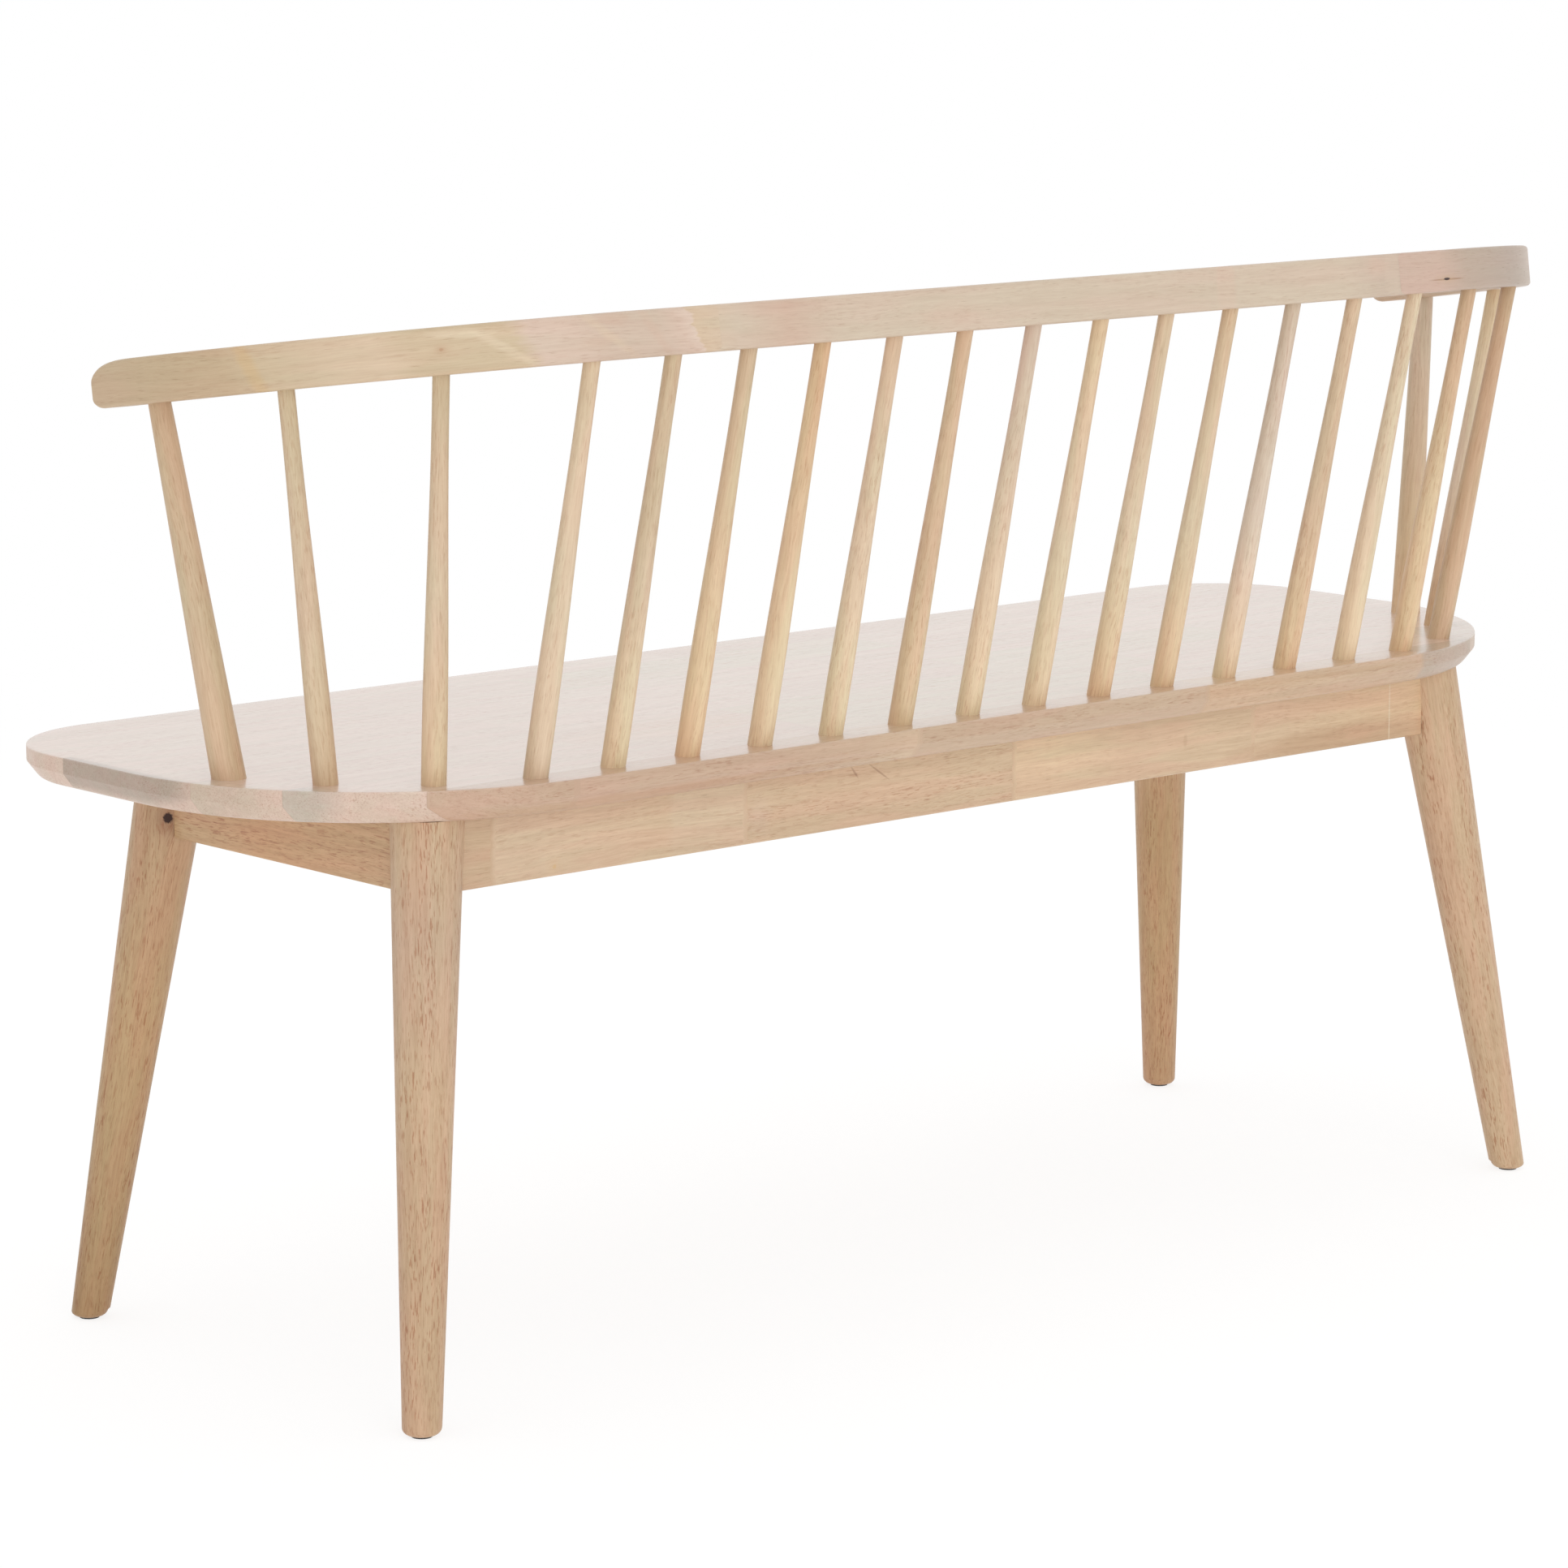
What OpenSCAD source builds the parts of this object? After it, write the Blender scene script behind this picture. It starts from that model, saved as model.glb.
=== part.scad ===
// Spindle-back dining bench in pale rubberwood: a rounded seat panel on four splayed round legs,
// and a bent bow (back rail and both arms) that stands on two arm posts and eighteen spindles.
// +X is the sitter's left, +Y the back and +Z up. The origin is on the floor under the middle.

/* [Seat] */
// Height of the seat top above the floor
seat_h = 450; // [420:5:480]
// Length of the seat panel
seat_l = 1310; // [1240:5:1420]
// Depth of the seat panel, front edge to rear edge
seat_d = 428; // [400:2:460]
// Thickness of the seat panel
seat_t = 24; // [22:1:30]
// Height of the upright band at the top of the seat edge
seat_band = 11.5; // [8:0.5:14]
// How far the undercut below the band runs in under the seat
seat_undercut = 9.5; // [4:0.5:14]
// Plan radius of the two rear corners
seat_rear_r = 228; // [190:2:240]
// Plan radius of the two front corners
seat_front_r = 98; // [70:2:130]

/* [Bow] */
// How far the arms' centre lines stand outside the seat's ends
bow_outset = 3; // [-12:1:15]
// Plan radius of the bow's corners, at the centre line
bow_r = 255; // [230:1:265]
// Reach of the arms forward of the back rail's centre line, along the bow
arm_reach = 284.5; // [272:0.5:310]
// Height of the bow's underside above the seat, at the back
bow_rise = 297; // [260:1:330]
// How far the back rail's centre line stands behind the seat's rear edge
bow_behind = 43; // [30:1:50]
// Slope of the bow's plane, up towards the back, in degrees
bow_tilt = 8; // [4:0.5:10]
// Thickness of the bow
bow_t = 30; // [28:1:36]
// Height of the bow's section
bow_h = 32.5; // [30:0.5:40]
// Radius of the bow's long edges
bow_edge = 3; // [1:0.5:4]
// Length of the curve that rounds the top of each arm's end
tip_top_l = 51; // [40:1:70]
// Height of that curve
tip_top_h = 21; // [12:1:23]
// Length of the curve that rounds the bottom of each arm's end
tip_low_l = 12; // [4:1:16]
// Height of that curve
tip_low_h = 8; // [4:1:9]
// Straight run of an arm piece between its corner and its joint with the back rail
joint_run = 42; // [12:1:50]
// Length of the fingers in that joint
finger_l = 11; // [6:1:14]
// Number of fingers across the bow
fingers = 5; // [3:1:7]

/* [Spindles] */
// How far the last spindle along the back stands past the start of the seat's rear corner
spindle_past = 24.1; // [0:0.1:28]
// Distance of the spindle line from the seat's rear edge
spindle_inset = 25; // [22:1:32]
// Diameter of a spindle at the seat
spindle_low_d = 18; // [15:0.5:20]
// Diameter of a spindle at the bow
spindle_top_d = 12; // [10:0.5:13]
// Length of the full part of a spindle above the seat
taper_start = 35; // [20:1:60]
// Length of the thin part of a spindle below the bow
taper_stop = 25; // [15:1:50]
// Diameter of an arm post at the seat
post_low_d = 24.5; // [20:0.5:27]
// Diameter of an arm post at the bow
post_top_d = 16; // [14:0.5:17]
// Diameter of the tenon on top of an arm post
post_tenon_d = 12; // [10:0.5:13]
// Depth of the sockets in the seat
seat_socket = 15; // [10:1:18]
// Depth of the sockets in the bow
bow_socket = 16; // [10:1:18]
// Plan angle of the first corner spindle on the seat, from straight back
seat_first_angle = 28.4; // [26:0.2:30]
// Plan angle between the corner spindles on the seat
seat_step_angle = 21.7; // [20:0.1:22.5]
// Plan angle of the first corner spindle at the bow, from straight back
bow_first_angle = 35; // [32:0.5:37]
// Plan angle between the corner spindles at the bow
bow_step_angle = 24.4; // [23:0.1:25]
// Extra inset of the arm post and the spindle next to it, on the seat
post_inset_low = 6; // [2:1:8]
// Distance of the arm post's top inside the bow's centre line
post_inset_top = 5; // [0:1:5]
// Distance of the two corner spindles' tops inside the bow's centre line
corner_inset_top = 1.5; // [0:0.5:3]
// How much further round the corner the arm post's top stands, in degrees
post_turn_top = 1; // [0:0.2:1.4]

/* [Legs] */
// Diameter of a leg where it meets the seat
leg_top_d = 53; // [48:1:58]
// Diameter of a leg at the foot
leg_foot_d = 28; // [24:1:34]
// Radius that rounds the foot
foot_edge = 6; // [3:0.5:8]
// Distance of the leg centres from the seat's ends, at the top
leg_end_inset = 135; // [125:5:160]
// Distance of the leg centres from the seat's long edges, at the top
leg_side_inset = 62; // [58:1:70]
// Splay of every leg towards its end of the bench
splay_end = 55; // [40:1:65]
// Splay of the rear legs to the back
splay_rear = 57; // [40:1:65]
// Splay of the front legs to the front
splay_front = 48; // [40:1:49]

/* [Aprons] */
// Height of the aprons
apron_h = 54; // [48:1:64]
// Thickness of the aprons
apron_t = 24; // [20:1:26]
// Distance of an apron's end from the leg's centre line
apron_stop = 22; // [20:0.5:23]
// Width of the bevel on the aprons' bottom edges
apron_ease = 1.5; // [0.5:0.5:3]
// Thickness of the corner blocks
block_t = 22; // [18:1:26]
// Height of the corner blocks
block_h = 40; // [38:1:46]

/* [Fixings] */
// Diameter of the apron dowels
dowel_d = 8; // [6:1:9]
// Length of a dowel inside the apron
dowel_in_apron = 20; // [16:1:21]
// Length of a dowel inside the leg
dowel_in_leg = 13; // [10:1:14]
// Diameter of the hanger bolts
bolt_d = 8; // [6:1:8]
// Thickness of the washers
washer_t = 1.6; // [1:0.2:2.4]
// Diameter of the washers
washer_d = 20; // [18:1:22]
// Width of the nuts across their flats
nut_flats = 13; // [10:1:14]
// Thickness of the nuts
nut_t = 6.5; // [5:0.5:8]
// Diameter of the wood screws
screw_d = 4; // [3:0.5:4.5]
// Diameter of the screw heads
screw_head_d = 8; // [6.5:0.5:8.5]
// Diameter of the foot glides
glide_d = 15; // [12:1:16]
// Thickness of the foot glides
glide_t = 1.5; // [1:0.5:3]

/* [Fit] */
// Glue gap round a tenon, dowel, bolt or screw, on the radius
fit = 0.1; // [0.05:0.05:0.2]
// Gap between the end of a tenon or dowel and the bottom of its hole
end_gap = 0.5; // [0.2:0.1:0.8]

/* [Hidden] */
$fn = 96;
far = 2000;
wood = [0.88, 0.77, 0.62];
pale_wood = [0.91, 0.85, 0.77];
leg_wood = [0.80, 0.68, 0.54];
inner_wood = [0.78, 0.66, 0.50];
steel = [0.72, 0.73, 0.74];
dark_plastic = [0.25, 0.24, 0.22];

// Seat, placed so that the whole bench, from seat front to back rail, is centred on the origin
rail_reach = (bow_t / 2 - bow_edge) * cos(bow_tilt) + bow_edge * (1 - sin(bow_tilt));
overall_d = seat_d + bow_behind + rail_reach;
seat_front_y = -overall_d / 2;
seat_rear_y = seat_front_y + seat_d;
seat_half = seat_l / 2;
rear_corner_x = seat_half - seat_rear_r;
rear_corner_y = seat_rear_y - seat_rear_r;
front_corner_x = seat_half - seat_front_r;
front_corner_y = seat_front_y + seat_front_r;
under_z = seat_h - seat_t;

// Bow, in its own tilted plane: x along the bench, y to the back, z = 0 at the underside
bow_half = seat_half + bow_outset;
bow_corner_x = bow_half - bow_r;
bow_y = seat_rear_y + bow_behind;
bow_z = seat_h + bow_rise;
joint_x = bow_corner_x - joint_run;
tip_power = 3;
seam_turn = 160;

// Legs at the level of the seat's underside, and at the middle of the aprons
leg_x = seat_half - leg_end_inset;
leg_rear_y = seat_rear_y - leg_side_inset;
leg_front_y = seat_front_y + leg_side_inset;
apron_low_z = under_z - apron_h;
apron_mid_z = under_z - apron_h / 2;
mid_share = apron_h / 2 / under_z;
mid_x = leg_x + splay_end * mid_share;
mid_rear_y = leg_rear_y + splay_rear * mid_share;
mid_front_y = leg_front_y - splay_front * mid_share;
leg_slant = atan(norm([splay_end, max(splay_rear, splay_front)]) / under_z);

// Corner fixings, measured from the leg's centre line towards the middle of the bench
root2 = sqrt(2);
leg_lean_in = apron_h / 2 * tan(leg_slant);
block_near = leg_top_d / 2 / cos(leg_slant) + leg_lean_in + end_gap;
block_far = block_near + block_t;
block_corner = block_far * root2 - apron_t / 2;
dowel_offset = 14;
bolt_start = 2;
bolt_spare = 4;
block_screw_inset = 14;
block_screw_y = block_corner - block_screw_inset;
block_screw_seat = 6;
block_pocket = 12;
block_screw_in = 15;
block_screw_heights = [-5, 17];
screw_head_l = 3;
seat_screw_in = 14;
seat_screw_side = 12;
seat_screw_sink = 12;
nail_d = 2;
nail_l = 14;
post_count = 20;
corner_count = 3;
back_half_count = post_count / 2 - 0.5 - corner_count;
spindle_pitch = (rear_corner_x + spindle_past) / back_half_count;

// Uprights are counted along the bow from the left arm post, 0, to the right arm post, 19.
// Both halves mirror each other, so a place is worked out for the left half and turned over.
function side(i) = i < post_count / 2 ? 1 : -1;
function half_index(i) = i < post_count / 2 ? i : post_count - 1 - i;
function is_post(i) = half_index(i) == 0;

// Place on a line set in from the seat's edge: k is 3 to 9 along the back, 0 to 2 round the corner
function seat_place(k) =
  k >= corner_count
  ? let (x = (post_count / 2 - 0.5 - k) * spindle_pitch,
         r = seat_rear_r - spindle_inset,
         past = max(x - rear_corner_x, 0))
    [x, rear_corner_y + sqrt(r * r - past * past)]
  : let (a = seat_first_angle + (corner_count - 1 - k) * seat_step_angle,
         r = seat_rear_r - spindle_inset - (k < corner_count - 1 ? post_inset_low : 0))
    [rear_corner_x + r * sin(a), rear_corner_y + r * cos(a)];

// Place on the bow's centre line, in the bow's plane
function bow_place(k) =
  k >= corner_count
  ? let (x = (post_count / 2 - 0.5 - k) * spindle_pitch,
         past = max(x - bow_corner_x, 0))
    [x, sqrt(bow_r * bow_r - past * past) - bow_r]
  : let (a = bow_first_angle + (corner_count - 1 - k) * bow_step_angle + (k < 1 ? post_turn_top : 0),
         r = bow_r - (k < 1 ? post_inset_top : corner_inset_top))
    [bow_corner_x + r * sin(a), r * cos(a) - bow_r];

function from_bow(p) = [
  p[0],
  bow_y + p[1] * cos(bow_tilt),
  bow_z + p[1] * sin(bow_tilt)
];
function upright_foot(i) =
  let (p = seat_place(half_index(i)))
  [side(i) * p[0], p[1], seat_h];
function upright_head(i) =
  let (p = from_bow(bow_place(half_index(i))))
  [side(i) * p[0], p[1], p[2]];

// A smooth step from 0 to 1, used for the spindles' taper
function ease(t) = t <= 0 ? 0 : t >= 1 ? 1 : t * t * (3 - 2 * t);

// Stands what is drawn along +Z on the line from p to q
module along(p, q) {
  d = q - p;
  translate(p)
    rotate([0, acos(d[2] / norm(d)), atan2(d[1], d[0])])
      children();
}

module on_bow() {
  translate([0, bow_y, bow_z])
    rotate([bow_tilt, 0, 0])
      children();
}

module left_or_right(s) {
  mirror([s > 0 ? 0 : 1, 0, 0]) children();
}

// Moves to a leg at apron height, turned so that -x and -y point to the middle of the bench
module at_corner(s, rear) {
  translate([s * mid_x, rear ? mid_rear_y : mid_front_y, 0])
    mirror([s > 0 ? 0 : 1, 0, 0])
      mirror([0, rear ? 0 : 1, 0])
        children();
}

module at_corners() {
  for (s = [1, -1], rear = [true, false]) at_corner(s, rear) children();
}

// Seat panel: the edge section is turned round the corners and run along the straight sides
module seat_corner(x, y, r, rear) {
  for (s = [1, -1])
    left_or_right(s)
      translate([x, y, under_z])
        rotate([0, 0, rear ? 0 : -90])
          rotate_extrude(angle = 90)
            polygon([
              [0, 0], [r - seat_undercut, 0], [r, seat_t - seat_band], [r, seat_t], [0, seat_t]
            ]);
}

module seat_across(x0, x1, y_back, back_cut) {
  bevel_z = seat_t - seat_band;
  translate([x0, 0, under_z])
    rotate([90, 0, 90])
      linear_extrude(x1 - x0)
        polygon([
          [seat_front_y + seat_undercut, 0], [y_back - back_cut, 0],
          [y_back, back_cut > 0 ? bevel_z : 0], [y_back, seat_t],
          [seat_front_y, seat_t], [seat_front_y, bevel_z]
        ]);
}

module seat_end(s) {
  left_or_right(s)
    translate([0, rear_corner_y, under_z])
      rotate([90, 0, 0])
        linear_extrude(rear_corner_y - front_corner_y)
          polygon([
            [rear_corner_x, 0], [seat_half - seat_undercut, 0],
            [seat_half, seat_t - seat_band], [seat_half, seat_t], [rear_corner_x, seat_t]
          ]);
}

module seat_blank() {
  seat_across(-rear_corner_x, rear_corner_x, seat_rear_y, seat_undercut);
  seat_across(rear_corner_x, front_corner_x, rear_corner_y, 0);
  seat_across(-front_corner_x, -rear_corner_x, rear_corner_y, 0);
  seat_end(1);
  seat_end(-1);
  seat_corner(rear_corner_x, rear_corner_y, seat_rear_r, true);
  seat_corner(front_corner_x, front_corner_y, seat_front_r, false);
}

module seat_panel() {
  color(pale_wood)
    difference() {
      seat_blank();
      for (i = [0 : post_count - 1]) upright_socket_in_seat(i);
      seat_screw_set(fit);
    }
}

// Sockets for the uprights: spindles go in whole at both ends, and a post's tenon into the bow
module upright_socket_in_seat(i) {
  d = is_post(i) ? post_low_d : spindle_low_d;
  along(upright_foot(i), upright_head(i))
    rotate([0, 0, seam_turn])
      translate([0, 0, -seat_socket - end_gap])
        cylinder(h = 2 * seat_socket + end_gap, d = d + 2 * fit);
}

module upright_socket_in_bow(i) {
  d = is_post(i) ? post_tenon_d : spindle_top_d;
  along(upright_head(i), 2 * upright_head(i) - upright_foot(i))
    translate([0, 0, -bow_socket])
      cylinder(h = 2 * bow_socket + end_gap, d = d + 2 * fit);
}

module bow_sockets() {
  for (i = [0 : post_count - 1]) upright_socket_in_bow(i);
}

// Bow: one section, run straight along the back and the arms and turned round the corners
module bow_section() {
  w = bow_t / 2 - bow_edge;
  translate([-bow_t / 2, bow_edge]) square([bow_t, bow_h - 2 * bow_edge]);
  translate([-w, 0]) square([2 * w, bow_h]);
  for (x = [-w, w], y = [bow_edge, bow_h - bow_edge])
    translate([x, y]) circle(bow_edge);
}

module rail_stock(x0, x1) {
  translate([x0, 0, 0])
    rotate([90, 0, 90])
      linear_extrude(x1 - x0)
        bow_section();
}

module arm_stock() {
  rail_stock(joint_x - finger_l, bow_corner_x);
  translate([bow_corner_x, -bow_r, 0]) {
    rotate_extrude(angle = 90) translate([bow_r, 0]) bow_section();
    translate([bow_r, 0, 0])
      rotate([90, 0, 0])
        linear_extrude(arm_reach - bow_r)
          bow_section();
  }
}

// Side view of an arm: a long full curve over the top of its end and a small one under it
module arm_side_view() {
  steps = 16;
  top_curve = [for (i = [0 : steps])
    let (a = 90 * i / steps)
    [-arm_reach + tip_top_l * (1 - pow(cos(a), 2 / tip_power)),
     bow_h - tip_top_h * (1 - pow(sin(a), 2 / tip_power))]];
  low_curve = [for (i = [steps / 2 : -1 : 0])
    let (a = 180 * i / steps)
    [-arm_reach + tip_low_l * (1 - cos(a)), tip_low_h * (1 - sin(a))]];
  polygon(concat([[-arm_reach + tip_low_l, -1]], low_curve, top_curve,
                 [[-arm_reach + tip_top_l, bow_h + 1], [far, bow_h + 1], [far, -1]]));
}

// Plan of the finger joint: everything on the back rail's side of the zigzag, moved by a gap
module rail_side_of_fingers(gap) {
  step = bow_t / fingers / 2;
  zigzag = [for (i = [-1 : 2 * fingers + 1])
    [joint_x - (i % 2 == 0 ? finger_l : 0) + gap, i * step - bow_t / 2]];
  translate([0, 0, -1])
    linear_extrude(bow_h + 2)
      polygon(concat([[0, -bow_t]], [[joint_x + gap, -bow_t]], zigzag,
                     [[joint_x + gap, bow_t]], [[0, bow_t]]));
}

module bow_back() {
  color(wood)
    difference() {
      on_bow()
        intersection() {
          rail_stock(-joint_x, joint_x);
          union() {
            rail_side_of_fingers(-2 * fit);
            mirror([1, 0, 0]) rail_side_of_fingers(-2 * fit);
          }
        }
      bow_sockets();
    }
}

module bow_arm(s) {
  color(wood)
    difference() {
      on_bow()
        left_or_right(s)
          difference() {
            intersection() {
              arm_stock();
              rotate([90, 0, 90]) linear_extrude(far) arm_side_view();
            }
            rail_side_of_fingers(0);
          }
      bow_sockets();
    }
}

// A spindle: full at the seat, eased down to the thin top, with a plain end in each socket
module spindle(i) {
  p = upright_foot(i);
  q = upright_head(i);
  l = norm(q - p);
  low_r = spindle_low_d / 2;
  top_r = spindle_top_d / 2;
  bands = 10;
  side_line = [for (b = [0 : bands])
    let (t = b / bands)
    [low_r - (low_r - top_r) * ease(t), taper_start + (l - taper_stop - taper_start) * t]];
  color(wood)
    along(p, q)
      rotate_extrude()
        polygon(concat([[0, -seat_socket], [low_r, -seat_socket]], side_line,
                       [[top_r, l + bow_socket], [0, l + bow_socket]]));
}

// An arm post: a plain taper, cut to the bow's underside, with a thinner tenon above
module arm_post(i) {
  p = upright_foot(i);
  q = upright_head(i);
  l = norm(q - p);
  color(wood) {
    difference() {
      along(p, q)
        rotate_extrude()
          polygon([
            [0, -seat_socket], [post_low_d / 2, -seat_socket], [post_low_d / 2, 0],
            [post_top_d / 2, l], [post_top_d / 2, l + bow_socket], [0, l + bow_socket]
          ]);
      on_bow() translate([-far, -far, -fit]) cube([2 * far, 2 * far, 4 * bow_socket]);
    }
    along(p, q)
      translate([0, 0, l / 2])
        cylinder(h = l / 2 + bow_socket, d = post_tenon_d);
  }
}

// Legs: slanted cones, level at the seat, with a foot that is rounded parallel to the floor
function leg_head(s, rear) = [s * leg_x, rear ? leg_rear_y : leg_front_y, under_z];
function leg_foot(s, rear) = [
  s * (leg_x + splay_end),
  rear ? leg_rear_y + splay_rear : leg_front_y - splay_front,
  0
];

module leg_cone(s, rear) {
  head = leg_head(s, rear);
  foot = leg_foot(s, rear);
  l = norm(head - foot);
  spare = 20;
  growth = (leg_top_d - leg_foot_d) / 2 / l * spare;
  along(foot, head)
    rotate([0, 0, seam_turn])
      translate([0, 0, -spare])
        cylinder(h = l + 2 * spare, r1 = leg_foot_d / 2 - growth, r2 = leg_top_d / 2 + growth);
}

module foot_rounding() {
  r = leg_foot_d / 2 / cos(leg_slant) + fit;
  rotate_extrude() {
    square([r - foot_edge, 2 * foot_edge]);
    translate([r - foot_edge, foot_edge]) circle(foot_edge);
    translate([0, foot_edge]) square([2 * leg_x, seat_h]);
  }
}

module leg(s, rear) {
  foot = leg_foot(s, rear);
  color(leg_wood)
    difference() {
      intersection() {
        leg_cone(s, rear);
        translate([foot[0], foot[1], glide_t]) foot_rounding();
        translate([-far, -far, 0]) cube([2 * far, 2 * far, under_z]);
      }
      at_corner(s, rear) {
        apron_housings();
        corner_dowels(fit, end_gap);
        leg_bolt(fit);
      }
      translate([foot[0], foot[1], 0]) cylinder(h = nail_l + glide_t + end_gap, d = nail_d + 2 * fit);
    }
}

// Flat-bottomed housings that take the square ends of two aprons
module apron_housings() {
  for (turn = [0, 1])
    mirror([turn, -turn, 0])
      translate([-apron_t / 2 - fit, -leg_top_d, apron_low_z - fit])
        cube([apron_t + 2 * fit, leg_top_d - apron_stop, apron_h + 1]);
}

// Aprons: straight rails between the housings, with eased bottom edges
module apron(l) {
  w = apron_t / 2;
  rotate([90, 0, 90])
    linear_extrude(l, center = true)
      polygon([
        [-w + apron_ease, 0], [w - apron_ease, 0], [w, apron_ease],
        [w, apron_h], [-w, apron_h], [-w, apron_ease]
      ]);
}

module long_apron(rear) {
  color(wood)
    difference() {
      translate([0, rear ? mid_rear_y : mid_front_y, apron_low_z])
        apron(2 * (mid_x - apron_stop - fit));
      corner_holes_in_aprons();
    }
}

module side_apron(s) {
  color(wood)
    difference() {
      translate([s * mid_x, (mid_rear_y + mid_front_y) / 2, apron_low_z])
        rotate([0, 0, 90])
          apron(mid_rear_y - mid_front_y - 2 * (apron_stop + fit));
      corner_holes_in_aprons();
    }
}

module corner_holes_in_aprons() {
  at_corners() {
    corner_dowels(fit, end_gap);
    corner_block_screws(fit);
  }
}

// Dowels across each leg joint, two to each apron end
module corner_dowels(gap, spare) {
  for (turn = [0, 1], z = [-dowel_offset, dowel_offset])
    mirror([turn, -turn, 0])
      translate([0, -apron_stop - dowel_in_apron - spare, apron_mid_z + z])
        rotate([-90, 0, 0])
          cylinder(h = dowel_in_apron + dowel_in_leg + 2 * spare, d = dowel_d + 2 * gap);
}

// Corner block: set across the corner between two aprons, with its top against the seat
module corner_block(s, rear) {
  w = apron_t / 2;
  near = block_near * root2 - w;
  away = block_corner;
  color(inner_wood)
    difference() {
      at_corner(s, rear)
        translate([0, 0, under_z - block_h])
          linear_extrude(block_h)
            polygon([[-w, -near], [-w, -away], [-away, -w], [-near, -w]]);
      at_corner(s, rear) {
        leg_bolt(fit);
        corner_block_screws(fit);
        block_screw_pockets();
        corner_seat_screws(fit);
        seat_screw_pockets();
      }
    }
}

// Hanger bolt: from the leg, through the block, with its washer and nut inside the corner
module diagonal() {
  translate([0, 0, apron_mid_z])
    rotate([0, 0, -135])
      rotate([0, 90, 0])
        children();
}

module leg_bolt(gap) {
  diagonal()
    translate([0, 0, bolt_start - 2 * gap])
      cylinder(h = block_far + washer_t + nut_t + bolt_spare - bolt_start, d = bolt_d + 2 * gap);
}

module leg_washer() {
  diagonal()
    translate([0, 0, block_far])
      difference() {
        cylinder(h = washer_t, d = washer_d);
        translate([0, 0, -1]) cylinder(h = washer_t + 2, d = bolt_d + 4 * fit);
      }
}

module leg_nut() {
  diagonal()
    translate([0, 0, block_far + washer_t])
      difference() {
        cylinder(h = nut_t, d = nut_flats / cos(30), $fn = 6);
        translate([0, 0, -1]) cylinder(h = nut_t + 2, d = bolt_d + 2 * fit);
      }
}

// Countersunk wood screw, drawn with its head at the bottom and its point up
module screw(l, gap) {
  cylinder(h = screw_head_l, d1 = screw_head_d + 2 * gap, d2 = screw_d + 2 * gap);
  cylinder(h = l + gap, d = screw_d + 2 * gap);
}

module block_screw_places() {
  for (turn = [0, 1], z = block_screw_heights)
    mirror([turn, -turn, 0])
      translate([-apron_t / 2 - block_screw_seat, -block_screw_y, apron_mid_z + z])
        rotate([0, 90, 0])
          children();
}

module corner_block_screws(gap) {
  block_screw_places()
    translate([0, 0, -screw_head_l])
      screw(screw_head_l + block_screw_seat + block_screw_in, gap);
}

module block_screw_pockets() {
  block_screw_places()
    translate([0, 0, -screw_head_l - block_pocket])
      cylinder(h = block_pocket, d = screw_head_d + 2 * fit);
}

module seat_screw_places() {
  for (turn = [0, 1])
    mirror([turn, -turn, 0])
      translate([
        -(block_near + block_t / 2 + seat_screw_side) / root2,
        -(block_near + block_t / 2 - seat_screw_side) / root2,
        under_z - block_h + seat_screw_sink
      ])
        children();
}

module corner_seat_screws(gap) {
  seat_screw_places() screw(block_h - seat_screw_sink + seat_screw_in, gap);
}

module seat_screw_pockets() {
  seat_screw_places()
    translate([0, 0, -seat_screw_sink - 1])
      cylinder(h = seat_screw_sink + 1, d = screw_head_d + 2 * fit);
}

module seat_screw_set(gap) {
  at_corners() corner_seat_screws(gap);
}

module at_feet() {
  for (s = [1, -1], rear = [true, false])
    translate([leg_foot(s, rear)[0], leg_foot(s, rear)[1], 0])
      children();
}

module foot_glides() {
  color(dark_plastic)
    at_feet()
      difference() {
        cylinder(h = glide_t, d = glide_d);
        translate([0, 0, glide_t / 2]) cylinder(h = glide_t, d = nail_d + 2 * fit);
      }
}

module glide_nails() {
  color(steel)
    at_feet()
      translate([0, 0, glide_t / 2])
        cylinder(h = nail_l + glide_t / 2, d = nail_d);
}

seat_panel();
bow_back();
bow_arm(1);  // bow_arm_left
bow_arm(-1);  // bow_arm_right
arm_post(0);  // arm_post_left
arm_post(post_count - 1);  // arm_post_right
spindle(1);  // spindle_01
spindle(2);  // spindle_02
spindle(3);  // spindle_03
spindle(4);  // spindle_04
spindle(5);  // spindle_05
spindle(6);  // spindle_06
spindle(7);  // spindle_07
spindle(8);  // spindle_08
spindle(9);  // spindle_09
spindle(10);  // spindle_10
spindle(11);  // spindle_11
spindle(12);  // spindle_12
spindle(13);  // spindle_13
spindle(14);  // spindle_14
spindle(15);  // spindle_15
spindle(16);  // spindle_16
spindle(17);  // spindle_17
spindle(18);  // spindle_18
leg(1, true);  // leg_rear_left
leg(1, false);  // leg_front_left
leg(-1, true);  // leg_rear_right
leg(-1, false);  // leg_front_right
long_apron(true);  // apron_rear
long_apron(false);  // apron_front
side_apron(1);  // apron_left
side_apron(-1);  // apron_right
corner_block(1, true);  // corner_block_rear_left
corner_block(1, false);  // corner_block_front_left
corner_block(-1, true);  // corner_block_rear_right
corner_block(-1, false);  // corner_block_front_right
color(wood) at_corners() corner_dowels(0, 0);  // apron_dowels
color(steel) at_corners() leg_bolt(0);  // leg_bolts
color(steel) at_corners() leg_washer();  // leg_washers
color(steel) at_corners() leg_nut();  // leg_nuts
color(steel) at_corners() corner_block_screws(0);  // block_screws
color(steel) seat_screw_set(0);  // seat_screws
foot_glides();
glide_nails();
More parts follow.
